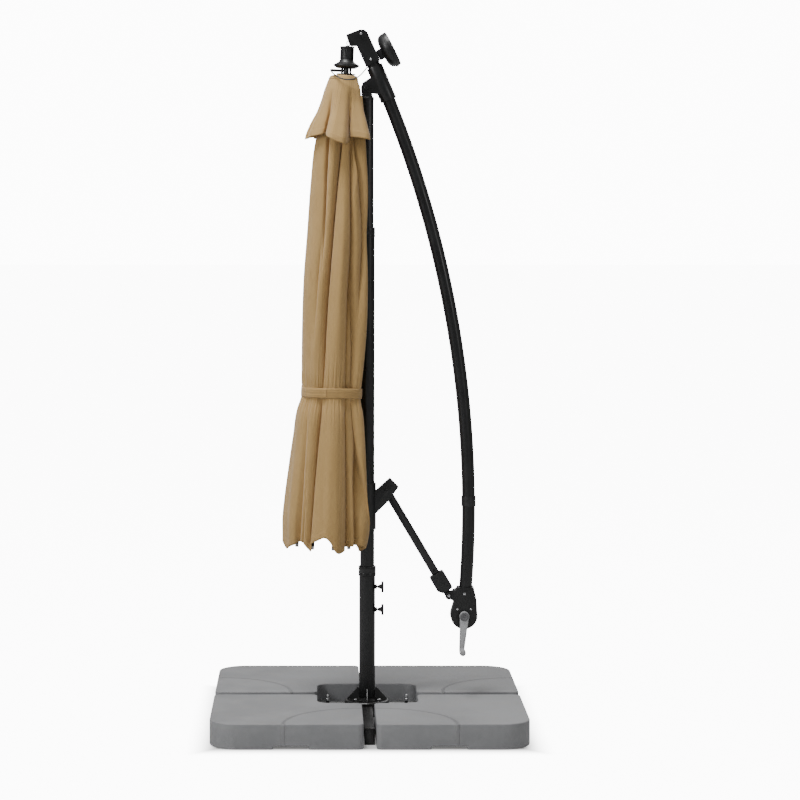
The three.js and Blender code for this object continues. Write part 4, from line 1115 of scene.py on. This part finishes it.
def arm_section(name, low, high, steps):
    """A circle is spun along the arm's arc, then given its wall."""
    deselect()
    a = math.radians(low)
    bpy.ops.mesh.primitive_circle_add(
        vertices=56, radius=21.2 * MM, location=(ARC_X + ARC_R * math.cos(a), 0, ARC_Z + ARC_R * math.sin(a)),
        rotation=(0, -a, 0))
    piece = active_mesh(name)
    bpy.ops.object.transform_apply(location=True, rotation=True, scale=True)
    bpy.ops.object.mode_set(mode="EDIT")
    bpy.ops.mesh.select_all(action="SELECT")
    bpy.ops.mesh.spin(steps=steps, angle=math.radians(high - low), center=(ARC_X, 0, ARC_Z), axis=(0, 1, 0))
    bpy.ops.mesh.select_all(action="SELECT")
    bpy.ops.mesh.remove_doubles(threshold=1e-6)
    bpy.ops.mesh.normals_make_consistent(inside=False)
    bpy.ops.object.mode_set(mode="OBJECT")
    wall = piece.modifiers.new("wall", "SOLIDIFY")
    wall.thickness, wall.offset = 1.6 * MM, -1
    apply_modifiers(piece)
    deselect()
    piece.select_set(True)
    bpy.context.view_layer.objects.active = piece
    bpy.ops.object.shade_smooth_by_angle(angle=math.radians(35))
    deselect()
    return piece


upper_arm = arm_section("arm_upper_sweep", 0.56, 25.3, 60)
lower_arm = arm_section("arm_lower_sweep", -4.1, 0.54, 14)
for piece, node in ((upper_arm, "arm_upper_tube"), (lower_arm, "arm_lower_tube")):
    finish_with(piece, STEEL_BLACK)
    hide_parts(node)
    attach(piece, "arm")

# rivets in pairs, front and rear: name, x, z, how far out along y, radius, height
ARM_RIVETS = [("elbow", -22.5, 2230, 26.4, 3.6, 1.0), ("leg", 9.4, 2148, 26.4, 3.6, 1.0),
              ("housing_top", 317, 411.7, 27.8, 4.2, 0.9), ("strut_joint", 267.5, 403, 15.0, 4.4, 0.9),
              ("housing_left", 294.4, 361.4, 28.2, 3.4, 0.9), ("housing_right", 338.4, 361.4, 28.2, 3.4, 0.9)]
for name, x, z, out, radius, height in ARM_RIVETS:
    for side, turn in ((-1, 90), (1, -90)):
        fastener(f"{name}_rivet_{'front' if side < 0 else 'rear'}", (x, side * out, z), (turn, 0, 0), radius, height,
                 "arm", socket=False)

# ---------- crank ----------

boss = turned("crank_boss", [(14.6, 44.0), (14.6, 44.5), (13.2, 45.6), (7.0, 45.9), (6.2, 45.2), (3.4, 45.2),
                             (3.0, 45.7), (0, 45.7)], 48)
placed(boss, (0.3164, 0, 0.3394), (90, 0, 0))
finish_with(boss, BOSS_GREY)
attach(boss, "crank")
grip = turned("crank_grip_sleeve", [
    (3.6, 0), (7.2, 0), (8.4, 0.8), (9.0, 3), (9.5, 12), (10.3, 30), (10.5, 40), (10.4, 52), (9.8, 60), (8.6, 62.4),
    (7.4, 63), (3.6, 63), (3.6, 0)], 48, closed=True)
placed(grip, (0.308, -0.0445, 0.230), (90, 0, 0))
finish_with(grip, CRANK_GREY)
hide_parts("crank_grip")
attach(grip, "grip")

# ---------- lamp ----------

LAMP_PLACE, LAMP_TURN = (0.082, 0, 2.186), (0, 63, 0)


def on_lamp(piece, material, body="arm"):
    placed(piece, LAMP_PLACE, LAMP_TURN)
    finish_with(piece, material)
    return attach(piece, body)


case = turned("lamp_case", [
    (0, -38), (26, -38), (32, -37.4), (40, -35.8), (46.5, -33.0), (51.5, -29.2), (54.6, -24.5), (56.4, -19.0),
    (57.2, -13.2), (56.6, -12.8), (56.6, -11.8), (57.4, -11.4), (57.5, -10.4), (57.5, -2.2), (57.0, -0.8), (55.8, -0.1),
    (54.0, 0), (52.9, -0.5), (52.6, -2.0), (0, -2.0)], 96)
well = turned("button_well", [(6.3, 45), (6.3, 60), (0, 60)], 40)
placed(well, (0, 0, 0), (0, 90, 0))
placed(well, (0, 0, -0.012))
carved(case, well)
neck = rounded_box("lamp_neck", (-17, -15, -54), (17, 15, -36), 2.5, 3)
case = joined("lamp_case", [case, neck])
on_lamp(case, PLASTIC_BLACK)
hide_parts("lamp_housing")
on_lamp(turned("lamp_face", [(0, -1.9), (52.2, -1.9), (52.4, -1.5), (51.6, -0.9), (0, -0.6)], 96), CELL_GLASS)
button = turned("power_button_cap", [(0, 48.2), (5.6, 48.2), (6.0, 48.8), (6.0, 57.6), (5.4, 59.0), (4.2, 59.4),
                                     (3.2, 58.9), (0, 58.8)], 40)
placed(button, (0, 0, 0), (0, 90, 0))
placed(button, (0, 0, -0.012))
on_lamp(button, PLASTIC_BLACK, "power_button")
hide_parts("power_button")

# ---------- canopy top ----------

CANOPY_TURN = (0, 2.8, 0)


def on_canopy(piece, material, body="canopy_hub"):
    placed(piece, HANG, CANOPY_TURN)
    finish_with(piece, material)
    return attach(piece, body)


def ring_of(name, piece, count, first=0.0):
    """Copies of one piece round the canopy's axis, as one."""
    copies = []
    for k in range(count):
        copy = copied(piece, f"{name}_{k}")
        placed(copy, (0, 0, 0), (0, 0, first + 360.0 * k / count))
        copies.append(copy)
    bpy.data.objects.remove(piece)
    return joined(name, copies)


socket = turned("socket_body", [
    (3.6, -7), (19, -7), (20.5, -7.2), (22.8, -7.6), (23.5, -8.6), (23.5, -11.6), (23.0, -12.6), (21.4, -13.2),
    (21.0, -14), (21.0, -49), (22.2, -51), (23.5, -54), (26, -57.5), (33, -62), (38.5, -64.4), (41, -65.8),
    (41.5, -67.2), (41.5, -70), (40.6, -71.6), (37, -73.6), (31, -77), (29, -78), (0, -78)], 72)
flute = rounded_box("flute", (20.4, -1.1, -49), (22.3, 1.1, -14), 0.7, 2)
flutes = ring_of("socket_flutes", flute, 26)
post = turned("socket_post", [(3.6, -95.5), (3.6, -77), (0, -77)], 24)
placed(post, (0.0154, 0, 0))
posts = ring_of("socket_posts", post, 6, 30)
core = turned("socket_core", [(9, -95.5), (9, -77), (0, -77)], 40)
disc = turned("socket_disc", [(0, -98.5), (28.6, -98.5), (30.2, -98.2), (31, -96.8), (31, -95.6), (30, -94.9),
                              (12, -94.0), (0, -94.0)], 64)
plug = turned("lead_plug", [(4.5, 5), (4.5, 36), (5.0, 36.6), (5.0, 40), (4.5, 40.6), (4.5, 43), (5.0, 43.6), (5.0, 47),
                            (4.5, 47.6), (4.5, 50.6), (3.8, 52), (0, 52)], 36)
placed(plug, (0, 0, 0), (0, -90, 0))
placed(plug, (0, 0, -0.086))
socket = joined("socket_body", [socket, flutes, posts, core, disc, plug])
on_canopy(socket, PLASTIC_BLACK)
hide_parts("canopy_socket")
shaft = turned("centre_shaft", [(5, -1114), (13.2, -1114), (14, -1113), (14, -1105), (12.6, -1104), (12.5, -1103),
                                (12.5, -104), (11, -104), (11, -1103), (5, -1104), (5, -1114)], 56, closed=True)
on_canopy(shaft, STEEL_BLACK)
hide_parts("centre_pole")

# rib ends: a small moulded tip closes each channel under the hem
for k in range(1, 9):
    tip = rounded_box(f"rib_tip_{k}", (4.6, -6.3, -1518), (13.3, 6.3, -1506), 1.6, 3)
    placed(tip, (0, 0, 0), (0, -1.8, 0))
    placed(tip, (HINGE_OUT, 0, -HINGE_DOWN))
    placed(tip, (0, 0, 0), (0, 0, 45 * k - 22.5))
    placed(tip, HANG, CANOPY_TURN)
    finish_with(tip, CRANK_GREY)
    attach(tip, f"rib_{k}")


# ---------- floor and light ----------

deselect()
bpy.ops.mesh.primitive_plane_add(size=120, location=(0, 0, -0.0015))
floor = active_mesh("floor")
apply_place(floor)
AMBIENT, SKY_GLOW, FLOOR_GLOW = 0.30, 12.0, 11.0
pale, tree, shader = blank("floor_paint")
shader.inputs["Base Color"].default_value = (0.6, 0.6, 0.6, 1)
shader.inputs["Roughness"].default_value = 0.9
shader.inputs["Specular IOR Level"].default_value = 0.1
seen = wire(tree, "ShaderNodeLightPath").outputs["Is Camera Ray"]
# painted shade: the floor's camera glow fades from full beyond 0.58 m to 1.5% within 0.47 m, darkening the floor beside
# the base and in its recess; the faint glow left there is painted light that lifts the shaded recess floor
place = wire(tree, "ShaderNodeSeparateXYZ", {0: wire(tree, "ShaderNodeTexCoord").outputs["Object"]})
beyond = sums(tree, "MAXIMUM", sums(tree, "ABSOLUTE", place.outputs["X"]), sums(tree, "ABSOLUTE", place.outputs["Y"]))
glow_with_painted_base_shade = sums(tree, "MULTIPLY_ADD", ramp(tree, beyond, 0.47, 0.58), 0.985, 0.015)
glow = sums(tree, "MULTIPLY", sums(tree, "MULTIPLY", seen, glow_with_painted_base_shade), FLOOR_GLOW)
tree.links.new(glow, shader.inputs["Emission Strength"])
shader.inputs["Emission Color"].default_value = (1, 1, 1, 1)
floor.data.materials.append(pale)

world = bpy.data.worlds.new("studio")
bpy.context.scene.world = world
world.use_nodes = True
sky = world.node_tree.nodes["Background"]
sky.inputs["Color"].default_value = (1, 1, 1, 1)
seen = wire(world.node_tree, "ShaderNodeLightPath").outputs["Is Camera Ray"]
world.node_tree.links.new(sums(world.node_tree, "MULTIPLY_ADD", seen, SKY_GLOW, AMBIENT), sky.inputs["Strength"])


def soft_light(name, location, target, size, power):
    data = bpy.data.lights.new(name, "AREA")
    data.size = size
    data.energy = power
    light = bpy.data.objects.new(name, data)
    light.location = location
    light.rotation_euler = (Vector(target) - Vector(location)).to_track_quat("-Z", "Y").to_euler()
    bpy.context.scene.collection.objects.link(light)


soft_light("top_light", (-1.0, -0.9, 5.8), (-0.05, 0, 0.6), 1.8, 270)
soft_light("key_light", (-4.6, -3.2, 3.6), (-0.1, 0, 1.5), 1.3, 150)
soft_light("fill_light", (4.2, -4.4, 2.4), (0.1, 0, 1.4), 1.2, 26)
soft_light("back_light", (1.5, 4.6, 3.6), (0, 0, 1.2), 3.0, 80)
